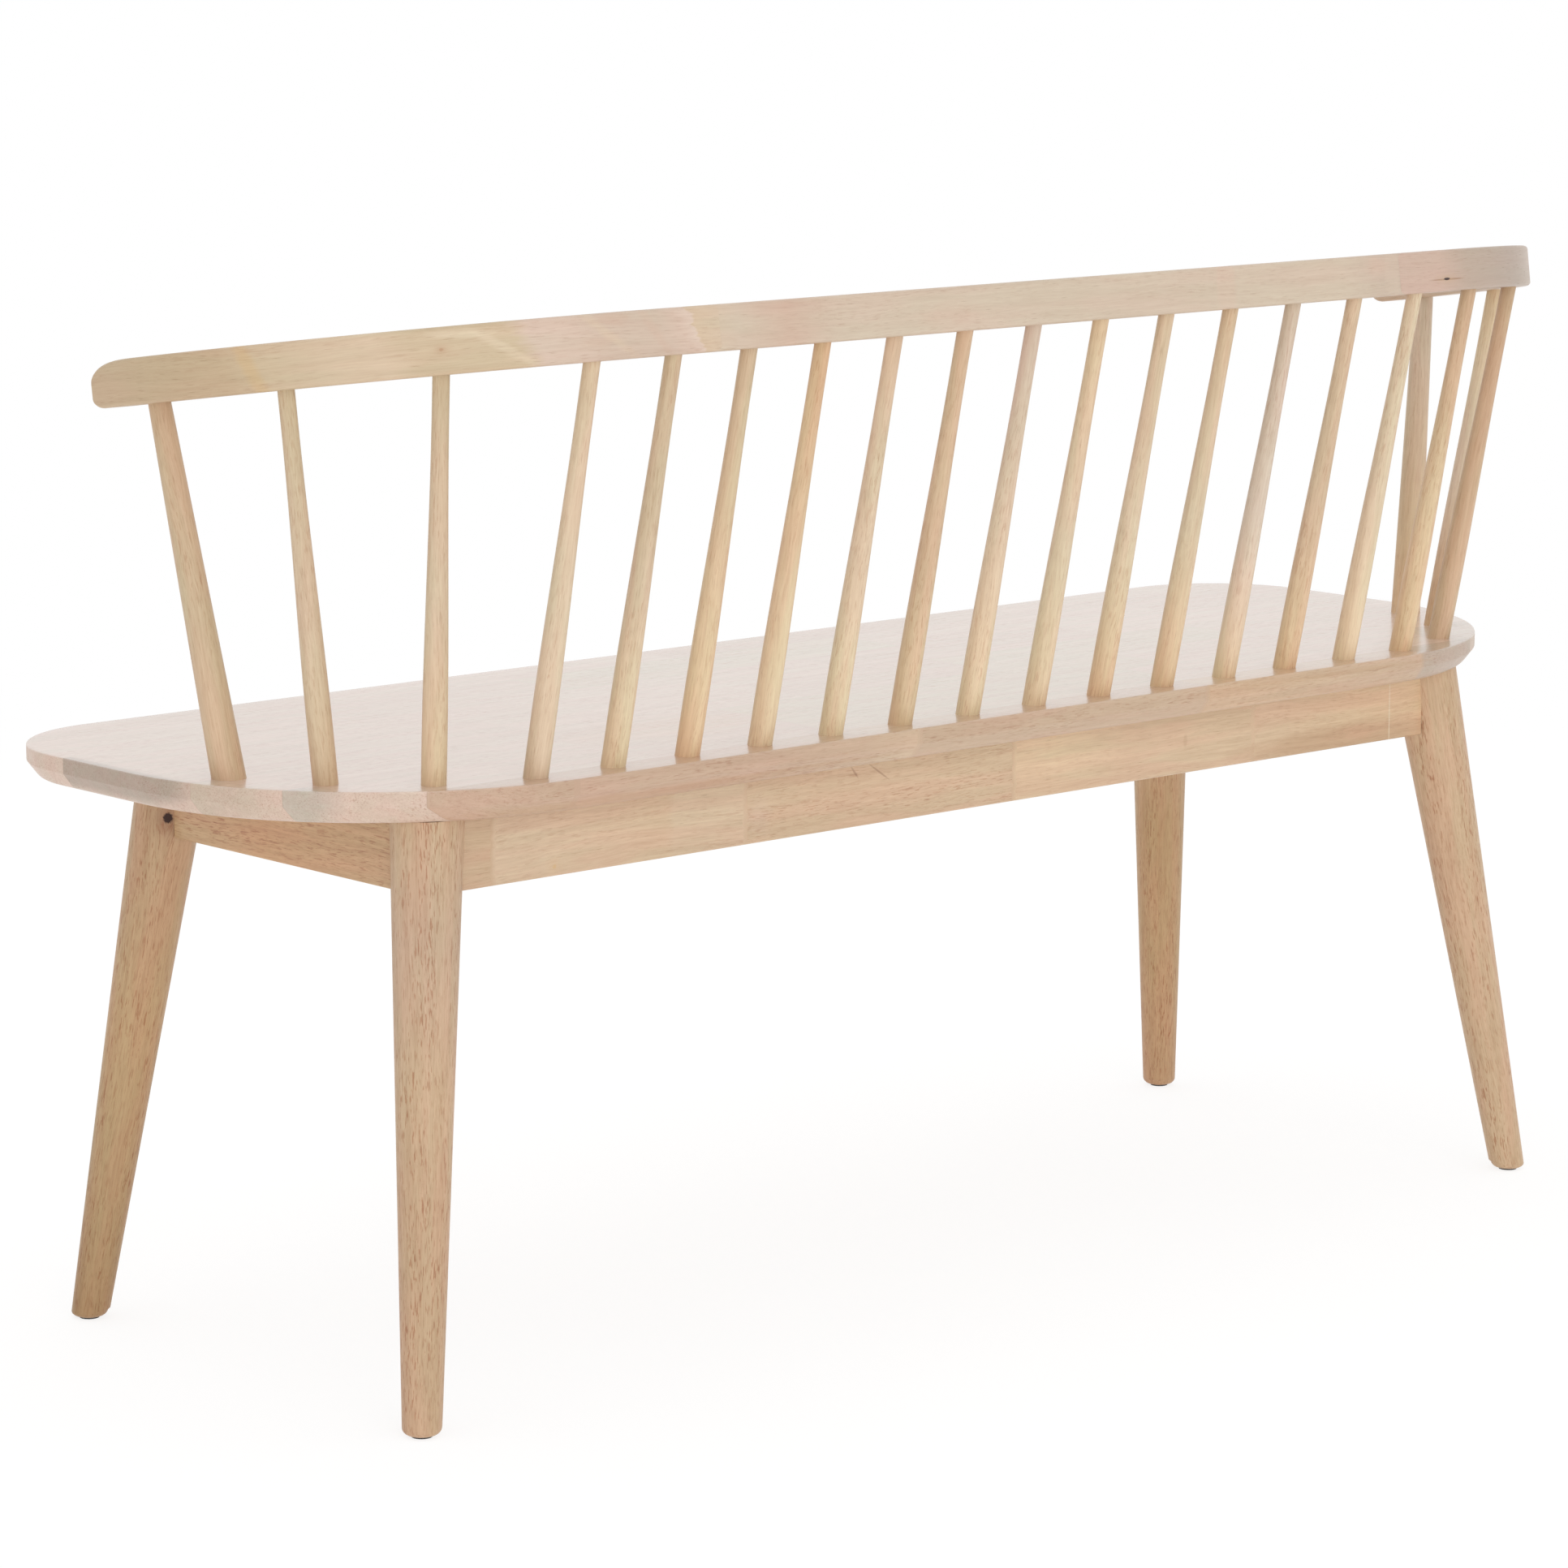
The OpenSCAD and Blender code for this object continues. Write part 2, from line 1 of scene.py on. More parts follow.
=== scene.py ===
"""The look of a spindle-back dining bench in pale rubberwood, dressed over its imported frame.

Sizes are in metres in the frame of the part: +X to the sitter's left, +Y to the back, +Z up, with
the origin on the floor under the middle of the bench. Every piece of wood carries a vector
attribute named "grain": its own place along, across and through the board, so that fibre, pores,
staves and knots follow the piece, round the bow's corners too.
"""

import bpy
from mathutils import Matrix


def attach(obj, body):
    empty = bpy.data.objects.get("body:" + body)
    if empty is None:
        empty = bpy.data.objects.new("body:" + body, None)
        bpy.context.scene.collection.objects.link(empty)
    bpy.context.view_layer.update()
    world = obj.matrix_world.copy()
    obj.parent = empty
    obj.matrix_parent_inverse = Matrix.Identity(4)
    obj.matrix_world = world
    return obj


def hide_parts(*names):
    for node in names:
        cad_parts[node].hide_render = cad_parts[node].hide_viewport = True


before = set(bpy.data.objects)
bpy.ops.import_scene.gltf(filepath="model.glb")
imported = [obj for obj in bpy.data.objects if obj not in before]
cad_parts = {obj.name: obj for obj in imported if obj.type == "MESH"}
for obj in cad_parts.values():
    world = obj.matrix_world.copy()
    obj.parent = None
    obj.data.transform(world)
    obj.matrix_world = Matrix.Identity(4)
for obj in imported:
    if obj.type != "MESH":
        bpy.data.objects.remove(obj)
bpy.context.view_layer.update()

import logging
import math
from dataclasses import dataclass, replace
from enum import Enum
from typing import Sequence

import bpy
import numpy as np

log = logging.getLogger("bench")
Array = np.ndarray
Material = bpy.types.Material
Node = bpy.types.Node
Socket = bpy.types.NodeSocket
Vec = tuple[float, float, float]
BODY = "root"
GRAIN = "grain"
TONE = "tone"
ORIGIN = (0.0, 0.0, 0.0)
WHITE = (1.0, 1.0, 1.0, 1.0)
GLUE = 0.0002  # half a glue joint between two boards


class Tone(Enum):
    """The tones of the rubberwood, in sRGB from 0 to 255."""

    MILK = (221, 205, 184)
    CREAM = (220, 201, 174)
    STRAW = (220, 195, 162)
    SAND = (214, 190, 162)
    TAN = (212, 185, 155)
    HONEY = (214, 182, 146)
    AMBER = (212, 178, 134)
    PEACH = (217, 176, 137)
    ROSE = (213, 187, 168)
    BLUSH = (207, 179, 160)
    OLIVE = (204, 183, 153)
    ASH = (208, 190, 170)
    STONE = (200, 181, 163)
    PEBBLE = (186, 167, 150)
    SLATE = (176, 158, 143)
    BUFF = (203, 174, 144)
    BISCUIT = (197, 167, 137)
    CLAY = (188, 151, 118)
    UMBER = (150, 110, 84)
    KNOT = (58, 34, 26)
    LILY = (213, 190, 174)
    PETAL = (210, 186, 170)
    SHELL = (219, 200, 184)
    BLOOM = (212, 190, 173)
    OAT = (212, 191, 164)
    GOLD = (206, 178, 138)
    # FAWN and HAZEL darken the near front leg towards its foot: painted shade
    FAWN = (166, 134, 98)
    HAZEL = (181, 152, 115)
    NUT = (198, 164, 125)
    TERRA = (201, 159, 117)
    DUNE = (198, 171, 146)
    FLAX = (205, 180, 153)
    HAY = (196, 172, 141)
    # CORN and IVORY lighten the uprights' feet: painted light near the seat
    CORN = (227, 199, 163)
    IVORY = (231, 211, 178)
    DUSK = (206, 187, 169)
    MAUVE = (203, 176, 160)
    RUSSET = (197, 167, 144)
    BRAN = (190, 158, 121)
    CHALK = (193, 180, 166)

    def linear(self) -> tuple[float, float, float, float]:
        """Gives the tone as linear colour.

        Returns:
            v / 12.92 for each part v below 0.04045, and ((v + 0.055) / 1.055) ** 2.4 above it.
        """
        rgb = (v / 255 for v in self.value)
        return *(v / 12.92 if v <= 0.04045 else ((v + 0.055) / 1.055) ** 2.4 for v in rgb), 1.0


Stops = Sequence[tuple[float, Tone]]


def read_tones(text: str) -> Stops:
    """Reads places and tones.

    Args:
        text: Pairs in words, such as "0.1 oat 0.5 ash".

    Returns:
        Pairs of a place and the tone there.
    """
    words = text.split()
    return [(float(at), Tone[name.upper()]) for at, name in zip(words[::2], words[1::2])]


# Shader building


class Graph:
    """Adds shader nodes to one tree and links them."""

    def __init__(self, tree: bpy.types.NodeTree) -> None:
        """Keeps the tree that the nodes go into."""
        self.tree = tree

    def put(self, socket: Socket, value: object) -> None:
        """Links a socket to an output, or sets it to a plain value."""
        if isinstance(value, bpy.types.NodeSocket):
            self.tree.links.new(value, socket)
        else:
            socket.default_value = value.linear() if isinstance(value, Tone) else value

    def fill(self, node: Node, *values: object, **named: object) -> Node:
        """Gives a node its inputs.

        Args:
            node: The node.
            values: Its first inputs, in order.
            named: Its inputs by name, with _ for a space.

        Returns:
            The node.
        """
        for socket, value in zip(node.inputs, values):
            self.put(socket, value)
        for name, value in named.items():
            self.put(node.inputs[name.replace("_", " ")], value)
        return node

    def add(self, kind: str, *values: object, **settings: object) -> Node:
        """Adds a node.

        Args:
            kind: The node's type, without its ShaderNode prefix.
            values: Its first inputs, in order.
            settings: Its own properties, and inputs by their names, which start with a capital.

        Returns:
            The new node.
        """
        node = self.tree.nodes.new("ShaderNode" + kind)
        named = {name: settings.pop(name) for name in list(settings) if name[0].isupper()}
        for name, value in settings.items():
            setattr(node, name, value)
        return self.fill(node, *values, **named)

    def math(self, operation: str, a: object, b: object = 0.0, c: object = 0.0,
             clamp: bool = False) -> Socket:
        """Gives the result of one Math node on a, b and c."""
        return self.add("Math", a, b, c, operation=operation, use_clamp=clamp).outputs[0]

    def times(self, a: object, b: object) -> Socket:
        """Gives a * b."""
        return self.math("MULTIPLY", a, b)

    def line(self, a: object, factor: object, offset: object) -> Socket:
        """Gives a * factor + offset."""
        return self.math("MULTIPLY_ADD", a, factor, offset)

    def swing(self, noise: object, reach: object, middle: object = 0.0) -> Socket:
        """Gives (noise - 0.5) * reach + middle."""
        return self.line(self.math("SUBTRACT", noise, 0.5), reach, middle)

    def vector(self, operation: str, a: object, b: object = ORIGIN, **named: object) -> Socket:
        """Gives the result of one Vector Math node on a and b."""
        node = self.add("VectorMath", a, b, operation=operation, **named)
        return node.outputs["Value" if operation == "LENGTH" else "Vector"]

    def mix(self, factor: object, a: object, b: object, blend: str = "MIX") -> Socket:
        """Gives colour a where factor is 0 and b, or a blended with b, where it is 1."""
        node = self.add("Mix", factor, data_type="RGBA", blend_type=blend, clamp_factor=True)
        self.put(node.inputs[6], a)
        self.put(node.inputs[7], b)
        return node.outputs[2]

    def tint(self, colour: object, factors: Vec, share: object = 1.0) -> Socket:
        """Gives a colour times three factors, by a share from 0 to 1."""
        return self.mix(share, colour, (*factors, 1.0), "MULTIPLY")

    def remap(self, value: object, low: object, high: object, to_low: float = 0.0, to_high: float = 1.0,
              smooth: bool = True) -> Socket:
        """Gives value moved from the span low to high to the span to_low to to_high, and clamped."""
        kind = "SMOOTHSTEP" if smooth else "LINEAR"
        return self.add("MapRange", value, low, high, to_low, to_high, interpolation_type=kind).outputs[0]

    def noise(self, place: object, scale: Vec, detail: float = 2.0, rough: float = 0.5,
              colour: bool = False) -> Socket:
        """Gives a noise, as a number or a colour, of a place with each part times its own scale."""
        spot = self.vector("MULTIPLY", place, scale)
        node = self.add("TexNoise", Vector=spot, Scale=1.0, Detail=detail, Roughness=rough)
        return node.outputs[int(colour)]

    def split(self, place: object) -> Sequence[Socket]:
        """Gives the three parts of a vector."""
        return self.add("SeparateXYZ", place).outputs[:3]

    def join(self, x: object, y: object, z: object) -> Socket:
        """Gives the vector of three parts."""
        return self.add("CombineXYZ", x, y, z).outputs[0]

    def bump(self, height: object, strength: float, distance: float) -> Socket:
        """Gives the normal that a height makes."""
        return self.add("Bump", Strength=strength, Distance=distance, Height=height).outputs[0]

    def ramp(self, factor: object, stops: Sequence[tuple[float, Sequence[float]]]) -> Sequence[Socket]:
        """Gives colour and alpha of a straight colour ramp with those stops, in rising order."""
        node = self.add("ValToRGB", factor)
        elements = node.color_ramp.elements
        while len(elements) < len(stops):
            elements.new(1.0)
        for element, (at, colour) in zip(elements, stops):
            element.position = at
            element.color = colour
        return node.outputs[:2]


def new_material(name: str) -> tuple[Material, Graph, Node]:
    """Makes a material and gives it with its graph and its Principled shader."""
    mat = bpy.data.materials.new(name)
    mat.use_nodes = True
    return mat, Graph(mat.node_tree), mat.node_tree.nodes["Principled BSDF"]


# How often each part of the figure repeats in a metre along, across and through the board
WANDER = (5.0, 16.0, 16.0)
BANDS = (4.0, 60.0, 60.0)
RINGS = (2.2, 14.0, 14.0)
STREAKS = (11.0, 300.0, 300.0)
FIBRE = (34.0, 950.0, 950.0)
PORES = (90.0, 1500.0, 1500.0)
CROWDS = (7.0, 60.0, 60.0)
DASHES = (95.0, 850.0, 850.0)
DRIFT = (9.0, 70.0, 70.0)
EDGE_WAVES = (25.0, 210.0, 210.0)

# Where the tree's pith lies across and through the board, the rings' rate in radians per metre of
# distance from it, and how far they waver in radians
PITH = (0.11, 0.07)
RING_RATE = 900.0
RING_WAVER = 14.0

# What the tone is multiplied by in early wood, late wood, dashes and pores
EARLY_SHADE = (1.07, 1.08, 1.075)
LATE_SHADE = (0.90, 0.85, 0.81)
DASH_SHADE = (0.75, 0.58, 0.51)
PORE_SHADE = (0.55, 0.42, 0.35)


class GroupKind(Enum):
    """The shader groups that more than one finish uses."""

    FIGURE = "wood_figure"
    PATCH = "soft_patch"
    KNOT = "grain_knot"


class Groups:
    """Builds each shader group once and places it in a material with its own values."""

    def __init__(self) -> None:
        """Starts with no group built."""
        self.built: dict[GroupKind, bpy.types.NodeTree] = {}

    def place(self, graph: Graph, kind: GroupKind, **values: object) -> Sequence[Socket]:
        """Places a group in a tree.

        Args:
            graph: The tree that it goes into.
            kind: Which group.
            values: Its inputs by name, with _ for a space.

        Returns:
            The group's outputs.
        """
        if kind not in self.built:
            self.built[kind] = getattr(self, kind.name.lower())(kind.value)
        return graph.add("Group", node_tree=self.built[kind], **values).outputs

    @staticmethod
    def new(name: str, outputs: Sequence[str], **inputs: object) -> tuple[Graph, Sequence[Socket], Node]:
        """Makes an empty group.

        Args:
            name: The group's name.
            outputs: Its outputs: Color is a colour, Grain a vector and any other a number.
            inputs: Its inputs by name, with _ for a space, and the value that each starts with.

        Returns:
            Its graph, its inputs in order, and its output node.
        """
        tree = bpy.data.node_groups.new(name, "ShaderNodeTree")
        for label, value in inputs.items():
            kind = "Float" if isinstance(value, float) else "Vector" if len(value) == 3 else "Color"
            socket = tree.interface.new_socket(label.replace("_", " "), in_out="INPUT",
                                               socket_type="NodeSocket" + kind)
            socket.default_value = value
        for label in outputs:
            kind = {"Color": "Color", "Grain": "Vector"}.get(label, "Float")
            tree.interface.new_socket(label, in_out="OUTPUT", socket_type="NodeSocket" + kind)
        start = tree.nodes.new("NodeGroupInput")
        return Graph(tree), start.outputs[:len(inputs)], tree.nodes.new("NodeGroupOutput")

    def figure(self, name: str) -> bpy.types.NodeTree:
        """Rubberwood: broad bands, faint rings, fine fibre and short dark pores along the grain."""
        g, (grain, seed, tone, strength, pores, length), end = self.new(
            name, ("Color", "Roughness", "Height"), Grain=ORIGIN, Seed=0.0, Tone=WHITE, Figure=1.0,
            Pores=0.5, Pore_Length=1.0)
        shift = g.vector("MULTIPLY", g.join(seed, seed, seed), (1.37, 0.73, 2.11))
        place = g.vector("ADD", grain, shift)
        # Lines of the grain wander a few millimetres across the board
        wander = g.noise(place, WANDER, colour=True)
        sway = g.vector("MULTIPLY", g.vector("SUBTRACT", wander, (0.5, 0.5, 0.5)), (0.0, 0.016, 0.016))
        place = g.vector("ADD", place, sway)
        broad = g.noise(place, BANDS, 3.0, 0.55)
        _, across, through = g.split(place)
        pith = g.join(0.0, g.math("ADD", across, PITH[0]), g.math("ADD", through, PITH[1]))
        turn = g.times(g.vector("LENGTH", pith), RING_RATE)
        ring = g.math("SINE", g.line(g.noise(place, RINGS, 1.0), RING_WAVER, turn))
        streak = g.noise(place, STREAKS, 2.0, 0.6)
        fibre = g.noise(place, FIBRE, 3.0, 0.65)
        # Pores are cells stretched along the grain, kept where the cell's own random value allows
        stretch = g.join(g.math("DIVIDE", PORES[0], length), *PORES[1:])
        cells = g.add("TexVoronoi", Vector=g.vector("MULTIPLY", place, stretch), Scale=1.0, feature="F1")
        pick, dark, _ = g.split(cells.outputs["Color"])
        share = g.times(pores, g.remap(g.noise(place, CROWDS), 0.3, 0.7, 0.25, 1.3))
        spot = g.times(g.remap(cells.outputs["Distance"], 0.5, 0.1), g.math("LESS_THAN", pick, share))
        pore = g.times(spot, g.line(dark, 0.65, 0.35))
        dash = g.times(g.remap(g.noise(place, DASHES, 2.0, 0.6), 0.55, 0.64), share)
        # The parts add up to one figure value around 0.4
        part = g.swing(streak, 1.2, g.line(ring, 0.07, g.swing(broad, 0.8)))
        value = g.math("MULTIPLY_ADD", g.swing(fibre, 1.9, part), strength, 0.4, clamp=True)
        colour = g.mix(value, g.tint(tone, EARLY_SHADE), g.tint(tone, LATE_SHADE))
        # The tone drifts a little between rosy and greenish
        drift = g.remap(g.noise(place, DRIFT), 0.36, 0.64)
        drift = g.mix(drift, (1.03, 0.985, 0.985, 1.0), (0.985, 1.01, 0.985, 1.0))
        colour = g.tint(g.mix(strength, colour, drift, "MULTIPLY"), DASH_SHADE, dash)
        colour = g.tint(colour, PORE_SHADE, g.times(pore, 0.42))
        rough = g.line(fibre, 0.10, g.line(pore, 0.2, 0.37))
        g.fill(end, colour, rough, g.math("SUBTRACT", g.times(fibre, 0.35), pore))
        return g.tree

    def patch(self, name: str) -> bpy.types.NodeTree:
        """A soft-edged patch: 1 inside an ellipsoid about Centre, with an uneven rim, 0 outside."""
        g, (grain, centre, inverse, slant, ragged, soft), end = self.new(
            name, ("Mask",), Grain=ORIGIN, Centre=ORIGIN, Inverse_Size=ORIGIN, Slant=0.0, Ragged=0.3,
            Soft=0.4)
        x, y, z = g.split(g.vector("SUBTRACT", grain, centre))
        far = g.vector("LENGTH", g.vector("MULTIPLY", g.join(g.line(z, slant, x), y, z), inverse))
        far = g.swing(g.noise(grain, (60.0, 300.0, 300.0), 3.0, 0.6), ragged, far)
        g.fill(end, g.remap(far, g.math("ADD", 1.0, soft), g.math("SUBTRACT", 1.0, soft)))
        return g.tree

    def knot(self, name: str) -> bpy.types.NodeTree:
        """A knot: bends the grain round Centre and gives its dark core and its stained halo."""
        g, (grain, centre, size, stretch), end = self.new(
            name, ("Grain", "Core", "Halo"), Grain=ORIGIN, Centre=ORIGIN, Size=0.004, Stretch=1.6)
        x, y, z = g.split(g.vector("SUBTRACT", grain, centre))
        far = g.math("DIVIDE", g.vector("LENGTH", g.join(g.math("DIVIDE", x, stretch), y, z)), size)
        halo = g.math("EXPONENT", g.times(g.times(far, far), -0.12))
        push = g.vector("SCALE", g.vector("NORMALIZE", g.join(0.0, y, z)), Scale=g.times(halo, size))
        core = g.remap(g.swing(g.noise(grain, (700.0, 900.0, 900.0)), 0.7, far), 1.05, 0.7)
        g.fill(end, g.vector("SUBTRACT", grain, push), core, g.times(halo, 0.8))
        return g.tree


GROUPS = Groups()


# Finishes

# Distances from a glue line where it starts and where it is full
GLUE_LINE = (0.0004, 0.0001)

# Heights on the seat between which its coat grows from the edge's weight to the top's
TOP_COAT = (-0.0012, -0.0003)
EDGE_COAT = 0.12


@dataclass(frozen=True)
class Board:
    """One glued length of wood.

    Attributes:
        start: Where it starts along the grain.
        end: Where it ends.
        tones: Its tone, or places and tones, as read_tones takes them.
        seed: Moves its figure, 0 to 1.
    """

    start: float
    end: float
    tones: str
    seed: float

    def stops(self) -> Stops:
        """Gives place and tone of each stop, with one just inside either end."""
        pairs = read_tones(self.tones if " " in self.tones else f"{self.start} {self.tones}")
        inner = [(at, tone) for at, tone in pairs if self.start < at < self.end]
        return [(self.start + GLUE, pairs[0][1]), *inner, (self.end - GLUE, pairs[-1][1])]


def row(end: float, *boards: tuple[float, str, float]) -> tuple[Board, ...]:
    """Lays boards end to end.

    Args:
        end: Where the last one ends.
        boards: Start, tones and seed of each.

    Returns:
        The boards.
    """
    ends = [start for start, _, _ in boards[1:]] + [end]
    return tuple(Board(start, stop, tones, seed) for (start, tones, seed), stop in zip(boards, ends))


@dataclass(frozen=True)
class Patch:
    """A soft patch of another tone, with its centre and half sizes in grain coordinates. Most are stains;
    one is painted shade.
    """

    centre: Vec
    size: Vec
    tone: Tone
    strength: float = 0.6
    slant: float = 0.0
    ragged: float = 0.5
    soft: float = 0.4


@dataclass(frozen=True)
class Knot:
    """A knot at a place in grain coordinates."""

    centre: Vec
    size: float
    stretch: float = 1.6
    core: Tone = Tone.KNOT
    halo: Tone = Tone.UMBER


@dataclass(frozen=True)
class Wood:
    """A clear-lacquered or, on hidden pieces, a plain planed rubberwood finish.

    Attributes:
        name: The material's name.
        rows: Rows of boards across the panel, from low to high.
        limits: Where each row but the last ends across the grain.
        figure: Strength of bands, rings and fibre.
        pores: Share of pores that show.
        pore_length: Their length, 1 for about 5 mm.
        ragged: How unevenly a tone ends, in metres.
        slant: How far a tone's edge leans along the grain, per metre of height.
        patches: Stains, and one strip of painted shade.
        knots: Knots.
        seam: Darkness of the glue lines between rows.
        coat: Weight of the lacquer coat.
        coat_roughness: Its roughness.
        coat_ior: Its index of refraction.
        top_coat_only: Whether the coat is full on the upper face alone.
        shine: Strength of the wood's own reflection.
        dotted: A span along the grain where over twice as many pores show.
        plain: One tone for all of a hidden piece, read from Object coordinates.
        turn: Degrees that a plain piece's grain is turned about Z.
        seed: Moves a plain piece's figure.
        dull: Roughness added to the wood's own.
        relief: Strength and depth of the bump.
    """

    name: str
    rows: tuple[tuple[Board, ...], ...] = ()
    limits: tuple[float, ...] = ()
    figure: float = 1.0
    pores: float = 0.5
    pore_length: float = 1.0
    ragged: float = 0.0
    slant: float = 0.0
    patches: tuple[Patch, ...] = ()
    knots: tuple[Knot, ...] = ()
    seam: float = 0.35
    coat: float = 0.25
    coat_roughness: float = 0.3
    coat_ior: float = 1.5
    top_coat_only: bool = False
    shine: float = 0.5
    dotted: tuple[float, float] | None = None
    plain: Tone | None = None
    turn: float = 0.0
    seed: float = 0.0
    dull: float = 0.0
    relief: tuple[float, float] = (0.35, 0.0002)

    def material(self) -> Material:
        """Builds the material: place in the grain, knots, boards, stains and painted shade, figure, then the
        lacquer.
        """
        mat, g, shader = new_material(self.name)
        if self.plain:
            turned = (0.0, 0.0, math.radians(self.turn))
            place = g.add("TexCoord").outputs["Object"]
            place = g.add("Mapping", Vector=place, Rotation=turned).outputs[0]
        else:
            place = g.add("Attribute", attribute_name=GRAIN).outputs["Vector"]
        along, across, height = g.split(place)
        bent = place
        knots: list[tuple[Knot, Socket, Socket]] = []
        for knot in self.knots:
            bent, core, halo = GROUPS.place(g, GroupKind.KNOT, Grain=bent, Centre=knot.centre,
                                            Size=knot.size, Stretch=knot.stretch)
            knots.append((knot, core, halo))
        tone, seed = self.tones(g, place)
        for patch in self.patches:
            mask, = GROUPS.place(g, GroupKind.PATCH, Grain=place, Centre=patch.centre,
                                 Inverse_Size=tuple(1 / half for half in patch.size), Slant=patch.slant,
                                 Ragged=patch.ragged, Soft=patch.soft)
            tone = g.mix(g.times(mask, patch.strength), tone, patch.tone)
        pores: object = self.pores
        if self.dotted:
            low, high = self.dotted
            within = g.times(g.math("GREATER_THAN", along, low), g.math("LESS_THAN", along, high))
            pores = g.line(within, self.pores * 1.3, self.pores)
        colour, rough, relief = GROUPS.place(g, GroupKind.FIGURE, Grain=bent, Seed=seed, Tone=tone,
                                             Figure=self.figure, Pores=pores, Pore_Length=self.pore_length)
        for knot, core, halo in knots:
            colour = g.mix(core, g.mix(g.times(halo, 0.75), colour, knot.halo), knot.core)
            relief = g.math("SUBTRACT", relief, g.times(core, 2.0))
        for limit in self.limits:
            off = g.math("ABSOLUTE", g.math("SUBTRACT", across, limit))
            colour = g.mix(g.remap(off, *GLUE_LINE, 0.0, self.seam), colour, Tone.UMBER)
        coat = g.remap(height, *TOP_COAT, EDGE_COAT, self.coat) if self.top_coat_only else self.coat
        if self.dull:
            rough = g.math("ADD", rough, self.dull)
        g.fill(shader, Base_Color=colour, Roughness=rough, Specular_IOR_Level=self.shine,
               Coat_Weight=coat, Coat_Roughness=self.coat_roughness, Coat_IOR=self.coat_ior,
               Normal=g.bump(relief, *self.relief))
        return mat

    def tones(self, g: Graph, place: Socket) -> tuple[object, object]:
        """Gives the tone and the seed at a place: plain, from the boards or from the tone attribute."""
        if self.plain:
            return self.plain, self.seed
        if not self.rows:
            node = g.add("Attribute", attribute_name=TONE)
            return node.outputs["Color"], node.outputs["Alpha"]
        along, across, height = g.split(place)
        if self.ragged:
            along = g.swing(g.noise(place, EDGE_WAVES, 2.0, 0.6), self.ragged, along)
        if self.slant:
            along = g.line(height, self.slant, along)
        tone = seed = None
        for index, boards in enumerate(self.rows):
            low, high = boards[0].start, boards[-1].end
            stops = [((at - low) / (high - low), (*colour.linear()[:3], board.seed))
                     for board in boards for at, colour in board.stops()]
            here, own = g.ramp(g.remap(along, low, high, smooth=False), stops)
            if index:
                past = g.math("GREATER_THAN", across, self.limits[index - 1])
                here = g.mix(past, tone, here)
                own = g.line(past, g.math("SUBTRACT", own, seed), seed)
            tone, seed = here, own
        return tone, seed


@dataclass(frozen=True)
class ZincSteel:
    """Zinc-plated steel: a pale bluish metal with cloudy gloss and fine drawn lines."""

    name: str = "zinc_steel"

    def material(self) -> Material:
        """Builds the material from two noises on Object coordinates."""
        mat, g, shader = new_material(self.name)
        place = g.add("TexCoord").outputs["Object"]
        cloud = g.noise(place, (120.0, 120.0, 120.0), 3.0)
        lines = g.noise(place, (900.0, 900.0, 3000.0))
        colour = g.mix(cloud, (0.52, 0.54, 0.56, 1.0), (0.70, 0.70, 0.68, 1.0))
        g.fill(shader, Base_Color=colour, Metallic=1.0, Roughness=g.line(cloud, 0.25, 0.22),
               Normal=g.bump(lines, 0.2, 0.0001))
        return mat


@dataclass(frozen=True)
class GlidePlastic:
    """The dark moulded plastic of the foot glides, scuffed dull."""

    name: str = "glide_plastic"

    def material(self) -> Material:
        """Builds the material from a fine mottle and long scuffs on Object coordinates."""
        mat, g, shader = new_material(self.name)
        place = g.add("TexCoord").outputs["Object"]
        mottle = g.noise(place, (2500.0, 2500.0, 2500.0))
        scuff = g.remap(g.noise(place, (1800.0, 90.0, 90.0)), 0.55, 0.7)
        colour = g.mix(mottle, (0.045, 0.042, 0.038, 1.0), (0.07, 0.065, 0.06, 1.0))
        g.fill(shader, Base_Color=g.mix(g.times(scuff, 0.4), colour, (0.16, 0.15, 0.14, 1.0)),
               Roughness=g.line(scuff, 0.25, 0.5), Normal=g.bump(mottle, 0.3, 0.0001))
        return mat


# Surfaces


def ring_quads(rings: int, around: int) -> Array:
    """Faces of a tube.

    Args:
        rings: Number of rings.
        around: Number of points in each ring.

    Returns:
        Quads that join point j and j + 1 (modulo around) of each ring with those of the next.
    """
    j = np.arange(around)
    k = (j + 1) % around
    a = around * np.arange(rings - 1)[:, None]
    return np.stack([a + j, a + k, a + around + k, a + around + j], -1).reshape(-1, 4)


def strip_cap(start: int, n: int) -> list[Array]:
    """Faces that close the ring of n points from start on, in strips between its upper and lower side."""
    j = np.arange(1, n // 2 - 1)
    strips = start + np.stack([j, j + 1, n - j - 1, n - j], -1)
    return [start + np.array([0, 1, n - 1]), *strips, start + np.array([n // 2 - 1, n // 2, n // 2 + 1])]


def rounded_line(corners: Sequence[tuple[float, float]], radii: Sequence[float], steps: int) -> Array:
    """An open line of straight runs with its inner corners rounded.

    Args:
        corners: The line's corners.
        radii: A radius for each corner; the two ends take 0.
        steps: Points on each rounding, less one.

    Returns:
        Points. Each corner c becomes c + t*((1-k)^2*(-u) + k^2*v) for k from 0 to 1, where u and v
        are the unit directions before and after it and t is radius * tan(half the turn).
    """
    c = np.array(corners, float)
    out = [c[:1]]
    k = np.linspace(0, 1, steps + 1)[:, None]
    for n in range(1, len(c) - 1):
        u = (c[n] - c[n - 1]) / np.linalg.norm(c[n] - c[n - 1])
        v = (c[n + 1] - c[n]) / np.linalg.norm(c[n + 1] - c[n])
        t = radii[n] * math.tan(math.acos(float(np.clip(u @ v, -1, 1))) / 2)
        out.append(c[n] + t * ((1 - k) ** 2 * -u + k ** 2 * v))
    out.append(c[-1:])
    return np.concatenate(out)


